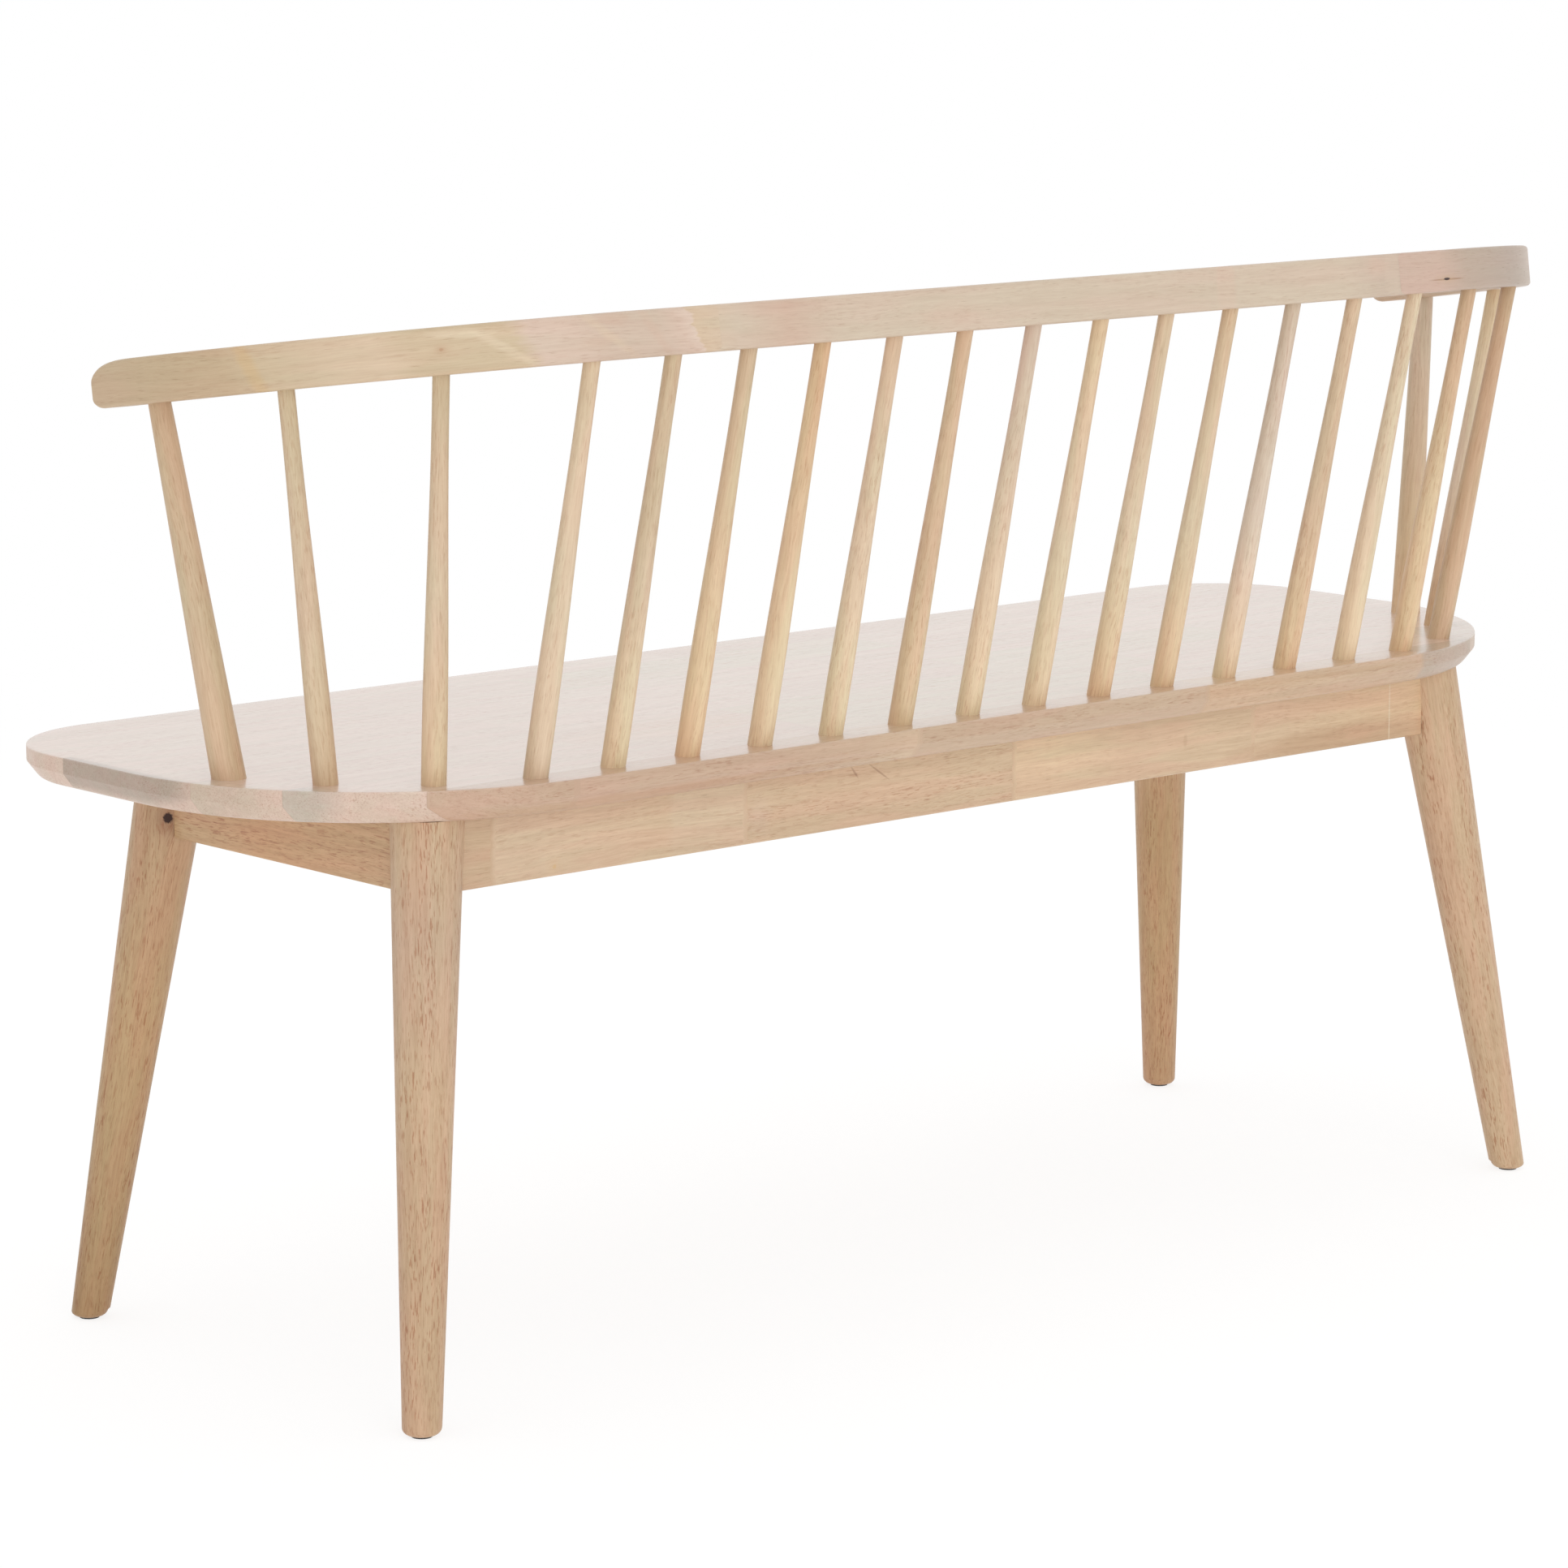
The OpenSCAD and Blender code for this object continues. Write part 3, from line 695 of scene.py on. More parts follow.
def volume_under(points: Array, faces: Array) -> float:
    """Volume between faces and the origin: the sum of a.(b x c) / 6 over each face's triangles."""
    p = points[faces]
    return float(np.sum(np.cross(p[:, 1:-1], p[:, 2:]) * p[:, :1]) / 6)


def add_object(name: str, data: bpy.types.ID) -> bpy.types.Object:
    """Puts a new object with those data into the scene."""
    item = bpy.data.objects.new(name, data)
    bpy.context.scene.collection.objects.link(item)
    return item


def add_piece(name: str, points: Array, grain: Array, material: Material,
              tone: Array | None = None, strips: bool = False, crease: float = 35.0, node: str = "") -> None:
    """Makes a closed tube of rings, dresses it and lets it stand for its CAD node.

    Args:
        name: The piece's name.
        points: Its points, rings by points in a ring by 3.
        grain: The grain attribute there.
        material: Its finish.
        tone: The tone attribute there, for a round piece.
        strips: Whether its ends are closed with strips, not with one flat face each.
        crease: Edges that turn by more degrees than this stay sharp.
        node: The CAD node that it stands for, where that has another name.
    """
    rings, n, _ = points.shape
    points = points.reshape(-1, 3)
    quads = ring_quads(rings, n)
    last = (rings - 1) * n
    if strips:
        caps = [face[::-1] for face in strip_cap(0, n)] + strip_cap(last, n)
    else:
        caps = [np.arange(n)[::-1], last + np.arange(n)]
    inside = volume_under(points, quads) + sum(volume_under(points, cap[None]) for cap in caps)
    if inside < 0:
        quads = quads[:, ::-1]
        caps = [cap[::-1] for cap in caps]
    mesh = bpy.data.meshes.new(name)
    mesh.from_pydata(points.tolist(), [], quads.tolist() + [cap.tolist() for cap in caps])
    mesh.validate()
    layers = ((GRAIN, "FLOAT_VECTOR", "vector", grain), (TONE, "FLOAT_COLOR", "color", tone))
    for label, kind, field, values in layers:
        if values is not None:
            attribute = mesh.attributes.new(label, kind, "POINT")
            attribute.data.foreach_set(field, np.ascontiguousarray(values, np.float32).ravel())
    mesh.shade_smooth()
    mesh.set_sharp_from_angle(angle=math.radians(crease))
    mesh.materials.append(material)
    piece = add_object(name, mesh)
    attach(piece, BODY)
    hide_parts(node or name)
    log.info("%s: %d faces, %.1f cm3", name, len(mesh.polygons), abs(inside) * 1e6)


def turning(foot: Array, head: Array, around: int) -> tuple[float, Array, Array]:
    """Sets up a piece turned about the line from its foot to its head.

    Args:
        foot: The line's start.
        head: Its end.
        around: Number of points in a ring.

    Returns:
        The line's length, the columns d, u and v, unit and square to each other with d along the
        line, and the ring cos(a) * u + sin(a) * v.
    """
    length = float(np.linalg.norm(head - foot))
    d = (head - foot) / length
    u = np.cross((0.0, 1.0, 0.0), d)
    u /= np.linalg.norm(u)
    v = np.cross(d, u)
    a = np.linspace(0, 2 * math.pi, around, endpoint=False)[:, None]
    return length, np.stack([d, u, v], -1), np.cos(a) * u + np.sin(a) * v


def tones_along(at: Array, text: str, seed: float) -> Array:
    """Tone attribute of a round piece.

    Args:
        at: Places along it, from 0 to 1.
        text: Places and tones, as read_tones takes them.
        seed: Its figure's seed.

    Returns:
        Colours straight between the stops, with the seed as alpha.
    """
    stops = read_tones(text)
    table = np.array([tone.linear() for _, tone in stops])
    rgb = [np.interp(at, [place for place, _ in stops], table[:, c]) for c in range(3)]
    return np.stack([*rgb, np.full(at.shape, seed)], -1)


# The bench


@dataclass
class Seat:
    """The seat panel: a glued panel of staves with an upright band and an undercut below it."""

    height: float = 0.450
    length: float = 1.310
    depth: float = 0.428
    thick: float = 0.024
    band: float = 0.0115
    undercut: float = 0.0095
    rear_radius: float = 0.228
    front_radius: float = 0.098
    front: float = -0.242733
    edge: float = 0.0011
    facet_edge: float = 0.0012
    low_edge: float = 0.009
    rim: float = 0.012

    def outline(self) -> tuple[Array, Array, Array]:
        """Plan outline, anticlockwise.

        Returns:
            Centre, radius and unit direction of each point. An outline inset by i is
            centre + (radius - i) * direction.
        """
        centres, radii, ways = [], [], []
        corners = ((1, False, -90, 40), (1, True, 0, 90), (-1, True, 90, 90), (-1, False, 180, 40))
        for side, rear, start, count in corners:
            r = self.rear_radius if rear else self.front_radius
            y = self.front + (self.depth - r if rear else r)
            a = np.radians(start + np.linspace(0, 90, count))
            centres.append(np.tile((side * (self.length / 2 - r), y), (count, 1)))
            radii.append(np.full(count, r))
            ways.append(np.stack([np.cos(a), np.sin(a)], -1))
        return np.concatenate(centres), np.concatenate(radii), np.concatenate(ways)

    def build(self, material: Material) -> None:
        """Carries the edge section, insets and heights from the underside up, round the outline."""
        low = self.height - self.thick
        line = [(self.undercut + self.rim, low), (self.undercut, low), (0.0, self.height - self.band),
                (0.0, self.height), (self.rim, self.height)]
        section = rounded_line(line, (0, self.low_edge, self.facet_edge, self.edge, 0), 5)
        centres, radii, ways = self.outline()
        plan = centres + (radii - section[:, :1])[..., None] * ways
        level = np.broadcast_to(section[:, 1:, None], (*plan.shape[:2], 1))
        points = np.concatenate([plan, level], -1)
        grain = points - (0.0, 0.0, self.height)
        add_piece("seat_top", points, grain, material, node="seat_panel")


@dataclass
class Bow:
    """The bow: a back rail and two arms, one eased section carried along a path in a tilted plane.

    Its last eight values place and count the rings, and count the points on a rounded edge.
    """

    half: float = 0.658
    radius: float = 0.255
    reach: float = 0.2845
    tilt: float = 8.0
    y: float = 0.228267
    z: float = 0.747
    wide: float = 0.030
    tall: float = 0.0325
    edge: float = 0.003
    tip_top: tuple[float, float] = (0.051, 0.021)
    tip_low: tuple[float, float] = (0.012, 0.008)
    tip_power: float = 3.0
    joint: float = 0.361
    finger: float = 0.011
    fingers: int = 5
    glue: float = 0.0001
    crease: float = 50.0
    corner_start: float = 0.058
    corner_rings: int = 64
    corner_after: float = 0.02
    arm_before: float = 0.003
    arm_past: float = 0.005
    back_past: float = 0.013
    back_middle: float = 0.15
    turn_points: int = 6

    def arc_end(self) -> float:
        """Distance along the path from an arm's tip to the end of its corner."""
        return self.reach - self.radius + math.pi / 2 * self.radius

    def run(self) -> float:
        """Distance along the path from an arm's tip to the middle of the back rail."""
        return self.arc_end() + self.half - self.radius

    def path(self, s: Array) -> tuple[Array, Array]:
        """Centre line of the bow's left half in its own plane.

        Args:
            s: Distances from the arm's tip.

        Returns:
            Points and outward directions: straight along the arm, then r * (cos a, sin a) about the
            corner's centre with a = s / r, then straight along the back.
        """
        arm = self.reach - self.radius
        a = np.clip((s - arm) / self.radius, 0, math.pi / 2)
        way = np.stack([np.cos(a), np.sin(a)], -1)
        past = np.stack([np.clip(s - self.arc_end(), 0, None), np.clip(arm - s, 0, None)], -1)
        return (self.half - self.radius, -self.radius) + self.radius * way - past, way

    def section(self) -> Array:
        """Unit section, symmetric about its middle height.

        Returns:
            Four rows: side and level on the core, from -1 to 1, and the direction of the rounding.
        """
        turn = np.radians(np.linspace(0, 90, self.turn_points))
        mids = np.linspace(1, -1, 2 * self.fingers - 1)[1:-1]
        arc, flat = np.ones(len(turn)), np.zeros(len(mids))
        upper = np.stack([
            np.concatenate([[1], arc, mids, -arc, [-1]]),
            np.concatenate([[0], arc, flat + 1, arc, [0]]),
            np.concatenate([[1], np.cos(turn), flat, -np.sin(turn), [-1]]),
            np.concatenate([[0], np.sin(turn), flat + 1, np.cos(turn), [0]]),
        ])
        return np.concatenate([upper, upper[:, -2:0:-1] * [[1], [-1], [1], [-1]]], 1)

    def tip(self, s: Array) -> tuple[Array, Array, Array]:
        """Size of the section near an arm's tip.

        Args:
            s: Distances from the tip.

        Returns:
            Half width, underside and top. With f = 1 - s/l, the top falls by a superellipse of h,
            1 - (1 - f^p)^(1/p), the underside and the half width by an ellipse, 1 - sqrt(1 - f^2).
        """
        reaches = (self.tip_top[0], self.tip_low[0], self.edge)
        top, low, side = (np.clip(1 - s / reach, 0, 1) for reach in reaches)
        upper = self.tall - self.tip_top[1] * (1 - (1 - top ** self.tip_power) ** (1 / self.tip_power))
        under = self.tip_low[1] * (1 - np.sqrt(1 - low ** 2))
        return self.wide / 2 - self.edge * (1 - np.sqrt(1 - side ** 2)), under, upper

    def finger_line(self, w: Array) -> Array:
        """Where the finger joint lies along the back, across the bow: a zigzag of the finger's length."""
        step = self.wide / self.fingers / 2
        return self.joint - self.finger * np.abs(np.mod((w + self.wide / 2) / step, 2) - 1)

    def carry(self, s: Array, joint: int) -> tuple[Array, Array]:
        """Carries the section along the path.

        Args:
            s: Distance of each ring from the arm's tip.
            joint: The ring whose points lie on the finger line instead.

        Returns:
            Points in the bow's plane (along the bench, to the back, up) and grain coordinates.
        """
        side, level, out_w, out_h = self.section()
        half, low, top = (v[:, None] for v in self.tip(s))
        r = np.minimum(self.edge, (top - low) * 0.49)
        w = side * (half - r) + out_w * r
        h = (top + low) / 2 + level * ((top - low) / 2 - r) + out_h * r
        centre, way = self.path(s)
        flat = centre[:, None] + way[:, None] * w[..., None]
        along = np.broadcast_to(s[:, None], w.shape).copy()
        flat[joint, :, 0] = self.finger_line(w[joint]) + self.glue * (1 if joint else -1)
        along[joint] = self.run() - flat[joint, :, 0]
        return np.concatenate([flat, h[..., None]], -1), np.stack([along, w, h], -1)

    def lift(self, plane: Array) -> Array:
        """Turns points of the bow's plane into the bench's frame: tilted about X by the bow's slope."""
        c, s = math.cos(math.radians(self.tilt)), math.sin(math.radians(self.tilt))
        x, y, h = plane[..., 0], plane[..., 1], plane[..., 2]
        return np.stack([x, self.y + y * c - h * s, self.z + y * s + h * c], -1)

    def mirrored(self, grain: Array) -> Array:
        """Grain coordinates of the right half, counted on past the middle of the back rail."""
        return grain * (-1.0, 1.0, 1.0) + (2 * self.run(), 0.0, 0.0)

    def build_arm(self, side: int, name: str, material: Material) -> None:
        """Builds one arm, from its rounded tip round the corner to the finger joint.

        Args:
            side: 1 for the left arm, -1 for the right one.
            name: The piece and its CAD node.
            material: Its finish.
        """
        # Rings lie close together on the rounded tip, whose places are in millimetres
        tip = np.array([0, 0.05, 0.15, 0.4, 0.8, 1.4, 2.2, 3, 4, 5.5, 7.5, 10, 12, 15, 19, 24, 30, 37,
                        44, 51]) / 1000
        corner, end = self.arc_end(), self.run() - self.joint
        bent = np.linspace(self.corner_start, corner, self.corner_rings)
        straight = [corner + self.corner_after, end - self.arm_before, end + self.arm_past]
        plane, grain = self.carry(np.concatenate([tip, bent, straight]), -1)
        points = self.lift(plane) * (side, 1.0, 1.0)
        grain = grain if side > 0 else self.mirrored(grain)
        add_piece(name, points, grain, material, strips=True, crease=self.crease)

    def build_back(self, material: Material) -> None:
        """Builds the straight back rail between the finger joints, its right half a mirrored left one."""
        start = self.run() - self.joint
        rings = np.array([start, start + self.back_past, self.run() - self.back_middle])
        plane, grain = self.carry(rings, 0)
        points = self.lift(np.concatenate([plane, plane[::-1] * (-1.0, 1.0, 1.0)]))
        grain = np.concatenate([grain, self.mirrored(grain[::-1])])
        add_piece("bow_back", points, grain, material, strips=True, crease=self.crease)


@dataclass
class Uprights:
    """Eighteen spindles and two arm posts between the seat and the bow, each with its own slant."""

    seat: Seat
    bow: Bow
    count: int = 20
    corner: int = 3
    pitch: float = 0.0694
    inset: float = 0.025
    post_inset_low: float = 0.006
    post_inset_top: float = 0.005
    corner_inset_top: float = 0.0015
    post_turn_top: float = 1.0
    seat_angles: tuple[float, float] = (28.4, 21.7)
    bow_angles: tuple[float, float] = (35.0, 24.4)
    low_d: float = 0.018
    top_d: float = 0.012
    taper: tuple[float, float] = (0.035, 0.025)
    post_low_d: float = 0.0245
    post_top_d: float = 0.016
    socket: float = 0.015
    tenon: float = 0.004
    clear: float = 0.02
    rings: int = 30
    around: int = 40

    def ends(self, i: int) -> tuple[Array, Array]:
        """Foot on the seat and head on the bow's underside of an upright.

        Args:
            i: The upright, 0 to 19 from the left post.

        Returns:
            Its foot and its head.
        """
        k = min(i, self.count - 1 - i)
        side = 1 if i < self.count / 2 else -1
        rear_x = self.seat.length / 2 - self.seat.rear_radius
        rear_y = self.seat.front + self.seat.depth - self.seat.rear_radius
        bow_x = self.bow.half - self.bow.radius
        inner = self.seat.rear_radius - self.inset
        if k >= self.corner:
            x = (self.count / 2 - 0.5 - k) * self.pitch
            low = (x, rear_y + math.sqrt(inner ** 2 - max(x - rear_x, 0) ** 2))
            high = (x, math.sqrt(self.bow.radius ** 2 - max(x - bow_x, 0) ** 2) - self.bow.radius)
        else:
            step = self.corner - 1 - k
            a = math.radians(self.seat_angles[0] + step * self.seat_angles[1])
            r = inner - (self.post_inset_low if step else 0)
            low = (rear_x + r * math.sin(a), rear_y + r * math.cos(a))
            turn = self.bow_angles[0] + step * self.bow_angles[1]
            a = math.radians(turn + (0 if k else self.post_turn_top))
            r = self.bow.radius - (self.corner_inset_top if k else self.post_inset_top)
            high = (bow_x + r * math.sin(a), r * math.cos(a) - self.bow.radius)
        head = self.bow.lift(np.array([side * high[0], high[1], 0.0]))
        return np.array([side * low[0], low[1], self.seat.height]), head

    def radius(self, s: Array, length: float, post: bool) -> Array:
        """Radius at distances from the seat: a straight taper for a post, 3t^2 - 2t^3 for a spindle."""
        if post:
            return np.interp(s, (0, length), (self.post_low_d / 2, self.post_top_d / 2))
        t = np.clip((s - self.taper[0]) / (length - self.taper[0] - self.taper[1]), 0, 1)
        return self.low_d / 2 + (self.top_d - self.low_d) / 2 * t * t * (3 - 2 * t)

    def build(self, i: int, name: str, tones: str, seed: float, material: Material) -> None:
        """Turns one upright: foot + d * s + r(s) * ring, with d along its line.

        Args:
            i: The upright, 0 to 19 from the left post.
            name: The piece and its CAD node.
            tones: Its tones from seat to bow.
            seed: Its figure's seed.
            material: Its finish.
        """
        foot, head = self.ends(i)
        length, axes, ring = turning(foot, head, self.around)
        middle = np.linspace(self.clear, length - self.clear, self.rings)
        s = np.concatenate([[-self.socket, 0], middle, [length, length + self.tenon]])
        r = self.radius(s, length, i in (0, self.count - 1))
        points = foot + s[:, None, None] * axes[:, 0] + r[:, None, None] * ring
        at = np.broadcast_to(s[:, None] / length, points.shape[:2])
        grain = (points - foot) @ axes
        add_piece(name, points, grain, material, tones_along(at, tones, seed))


@dataclass
class Legs:
    """Four round legs, splayed both ways: slanted cones, level at the seat, with rounded level feet."""

    seat: Seat
    top_d: float = 0.053
    foot_d: float = 0.028
    foot_edge: float = 0.006
    end_inset: float = 0.135
    side_inset: float = 0.062
    splay_end: float = 0.055
    splay_rear: float = 0.057
    splay_front: float = 0.048
    glide: float = 0.0015
    fit: float = 0.0001
    body: float = 0.016
    rings: int = 30
    around: int = 72

    def ends(self, side: int, rear: bool) -> tuple[Array, Array]:
        """Foot on the floor and head under the seat of one leg."""
        x = self.seat.length / 2 - self.end_inset
        y = self.seat.front + (self.seat.depth - self.side_inset if rear else self.side_inset)
        out = self.splay_rear if rear else -self.splay_front
        top = self.seat.height - self.seat.thick
        return np.array([side * (x + self.splay_end), y + out, 0.0]), np.array([side * x, y, top])

    def build(self, side: int, rear: bool, name: str, tones: str, seed: float,
              material: Material) -> None:
        """Builds one leg.

        A point is where the cone's line at angle a, from foot + r0 * ring(a) to head + r1 * ring(a),
        crosses the height z. Near the floor its distance from the foot's centre is held under the
        rounding R - e + sqrt(e^2 - (e - h)^2), with h the height above the glide.

        Args:
            side: 1 for left, -1 for right.
            rear: Whether it is a rear leg.
            name: The piece and its CAD node.
            tones: Its tones from foot to seat.
            seed: Its figure's seed.
            material: Its finish.
        """
        foot, head = self.ends(side, rear)
        length, axes, ring = turning(foot, head, self.around)
        low, high = foot + self.foot_d / 2 * ring, head + self.top_d / 2 * ring
        turn = np.linspace(0, math.pi / 2, 8)
        round_z = self.glide + self.foot_edge * (1 - np.cos(turn))
        z = np.concatenate([round_z, np.linspace(self.body, head[2], self.rings)])
        t = (z[:, None] - low[:, 2]) / (high[:, 2] - low[:, 2])
        points = low + t[..., None] * (high - low)
        slant = math.atan(math.hypot(self.splay_end, self.splay_rear) / head[2])
        h = np.clip(self.foot_edge - (z - self.glide), 0, None)
        widest = self.foot_d / 2 / math.cos(slant) + self.fit
        limit = widest - self.foot_edge + np.sqrt(self.foot_edge ** 2 - h ** 2)
        off = points[..., :2] - foot[:2]
        hold = np.minimum(1, limit[:, None] / np.linalg.norm(off, axis=-1))
        hold[z >= self.glide + self.foot_edge] = 1
        points[..., :2] = foot[:2] + off * hold[..., None]
        grain = (points - foot) @ axes
        tone = tones_along(grain[..., 0] / length, tones, seed)
        add_piece(name, points, grain, material, tone)


@dataclass
class Aprons:
    """Four straight rails with eased edges, housed in the legs."""

    legs: Legs
    tall: float = 0.054
    thick: float = 0.024
    stop: float = 0.022
    edge: float = 0.0018
    top_edge: float = 0.0006
    end_edge: float = 0.0004

    def middles(self) -> Array:
        """Places of the legs' centre lines at the middle of the aprons: rear leg, then front leg."""
        pairs = [self.legs.ends(1, rear) for rear in (True, False)]
        return np.array([head + (foot - head) * self.tall / 2 / head[2] for foot, head in pairs])

    def build(self, name: str, long: bool, line: float, low: float, high: float, flip: bool,
              material: Material) -> None:
        """Carries an upright section with eased edges along a straight line.

        Args:
            name: The piece and its CAD node.
            long: Whether it runs along X.
            line: The rail's place across.
            low: Where it starts along its line.
            high: Where it ends.
            flip: Whether the grain's across direction points the other way, so that + is outwards.
            material: Its finish.
        """
        top = self.legs.seat.height - self.legs.seat.thick
        w, e, tip = self.thick / 2, self.edge, self.end_edge
        corners = [(0, top - self.tall), (w, top - self.tall), (w, top), (-w, top), (-w, top - self.tall),
                   (0, top - self.tall)]
        section = rounded_line(corners, (0, e, self.top_edge, self.top_edge, e, 0), 5)[:-1]
        shrink = np.array([tip, 0, 0, tip])[:, None]
        across = section[:, 0] * (1 - shrink / w)
        height = np.broadcast_to(section[:, 1], across.shape)
        along = np.broadcast_to(np.array([low, low + tip, high - tip, high])[:, None], across.shape)
        points = np.stack([along, line + across, height] if long else [line + across, along, height], -1)
        grain = np.stack([along, across * (-1 if flip else 1), height - top], -1)
        add_piece(name, points, grain, material)


@dataclass
class Fixings:
    """The corner blocks, dowels, bolts, screws and glides: CAD nodes that stay, in their own finishes."""

    blocks: tuple[tuple[str, float], ...] = (
        ("corner_block_rear_left", 45.0), ("corner_block_front_left", -45.0),
        ("corner_block_rear_right", -45.0), ("corner_block_front_right", 45.0),
    )
    steel: tuple[str, ...] = (
        "leg_bolts", "leg_washers", "leg_nuts", "block_screws", "seat_screws", "glide_nails",
    )

    def dress(self) -> None:
        """Gives each node its material."""
        for index, (name, turn) in enumerate(self.blocks):
            self.assign(name, self.planed(name + "_wood", Tone.BISCUIT, turn, 0.3 + 0.2 * index))
        self.assign("apron_dowels", self.planed("dowel_wood", Tone.TAN, 0.0, 0.9))
        steel = ZincSteel().material()
        for name in self.steel:
            self.assign(name, steel)
        self.assign("foot_glides", GlidePlastic().material())

    @staticmethod
    def planed(name: str, tone: Tone, turn: float, seed: float) -> Material:
        """Gives a dull planed wood of one tone, its grain turned about Z by those degrees."""
        return Wood(name, plain=tone, turn=turn, seed=seed, figure=1.2, pores=0.6, coat=0.0, dull=0.2,
                    relief=(0.5, 0.0003)).material()

    @staticmethod
    def assign(name: str, material: Material) -> None:
        """Puts a material on a CAD node in place of its plain one."""
        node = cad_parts[name]
        for slot in node.material_slots:
            slot.material = material
        if not node.material_slots:
            node.data.materials.append(material)
        log.info("%s: dressed with %s", name, material.name)


@dataclass
class Studio:
    """A pale floor, a soft even sky, two soft lamps, and the camera."""

    place: Vec = (2.75925, 3.02346, 1.09523)
    pitch: float = 0.1751167
    heading: float = -2.29643363
    focal: float = 6550.7
    picture: int = 1932
    sensor: float = 36.0
    clip_end: float = 200.0
    sky: float = 0.585
    lamp: float = 0.75
    lamp_height: float = 15.0
    lamp_side: float = 20.0
    lamp_size: float = 50.0
    top_lamp: float = 0.70
    top_size: float = 80.0
    floor_tone: float = 0.93
    floor_share: float = 0.23
    floor_glow: float = 0.82
    floor_bounce: float = 0.26
    floor_half: float = 90.0
    fade: tuple[float, float] = (0.9, 3.0)

    def camera(self) -> None:
        """Sets the camera at the photograph's viewing angle."""
        data = bpy.data.cameras.new("camera")
        data.sensor_fit = "HORIZONTAL"
        data.sensor_width = self.sensor
        data.lens = self.focal / self.picture * self.sensor
        data.clip_end = self.clip_end
        camera = add_object("camera", data)
        camera.location = self.place
        camera.rotation_euler = (math.pi / 2 - self.pitch, 0.0, self.heading - math.pi / 2)
        bpy.context.scene.camera = camera

    def world(self) -> None:
        """Makes the sky: even light on the bench, and plain white to the camera and in reflections."""
        world = bpy.data.worlds.new("studio")
        bpy.context.scene.world = world
        world.use_nodes = True
        world.node_tree.nodes.clear()
        g = Graph(world.node_tree)
        rays = g.add("LightPath").outputs
        seen = g.math("MAXIMUM", rays["Is Camera Ray"],
                      g.math("MAXIMUM", rays["Is Glossy Ray"], rays["Is Transmission Ray"]))
        light = g.add("Background", WHITE, self.sky).outputs[0]
        white = g.add("Background", WHITE, 1.0).outputs[0]
        g.add("OutputWorld", g.add("MixShader", seen, light, white).outputs[0])

    def lamps(self) -> None:
        """Hangs two very soft lamps: one behind the bench, on the camera's side, and one above it."""
        tilt = math.radians(self.lamp_height - 90)
        for name, power, size, turn in (
            ("soft_lamp", self.lamp, self.lamp_size, (tilt, 0.0, math.radians(-self.lamp_side))),
            ("top_lamp", self.top_lamp, self.top_size, ORIGIN),
        ):
            data = bpy.data.lights.new(name, "SUN")
            data.energy = power
            data.angle = math.radians(size)
            add_object(name, data).rotation_euler = turn

    def floor(self) -> None:
        """Lays a pale floor that keeps the shadow near the bench and turns plain white far from it.

        It is lit from afar too, and throws that light up at the bench. Seen directly, it keeps a
        share of its shade over a plain glow, which together make white.
        """
        mesh = bpy.data.meshes.new("floor")
        far = self.floor_half
        corners = [(-far, -far, 0), (far, -far, 0), (far, far, 0), (-far, far, 0)]
        mesh.from_pydata(corners, [], [(0, 1, 2, 3)])
        mat = bpy.data.materials.new("floor")
        mat.use_nodes = True
        mat.node_tree.nodes.clear()
        g = Graph(mat.node_tree)
        rays = g.add("LightPath").outputs
        seen = g.math("MAXIMUM", rays["Is Camera Ray"], rays["Is Glossy Ray"])
        bright, pale = (
            g.add("AddShader", g.add("BsdfDiffuse", (shade, shade, shade, 1.0)).outputs[0],
                  g.add("Emission", WHITE, glow).outputs[0]).outputs[0]
            for shade, glow in ((self.floor_tone, self.floor_bounce), (self.floor_share, self.floor_glow))
        )
        away = g.remap(g.vector("LENGTH", g.add("TexCoord").outputs["Object"]), *self.fade)
        shown = g.add("MixShader", away, pale, g.add("Emission", WHITE, 1.0).outputs[0]).outputs[0]
        g.add("OutputMaterial", g.add("MixShader", seen, bright, shown).outputs[0])
        mesh.materials.append(mat)
        add_object("floor", mesh)


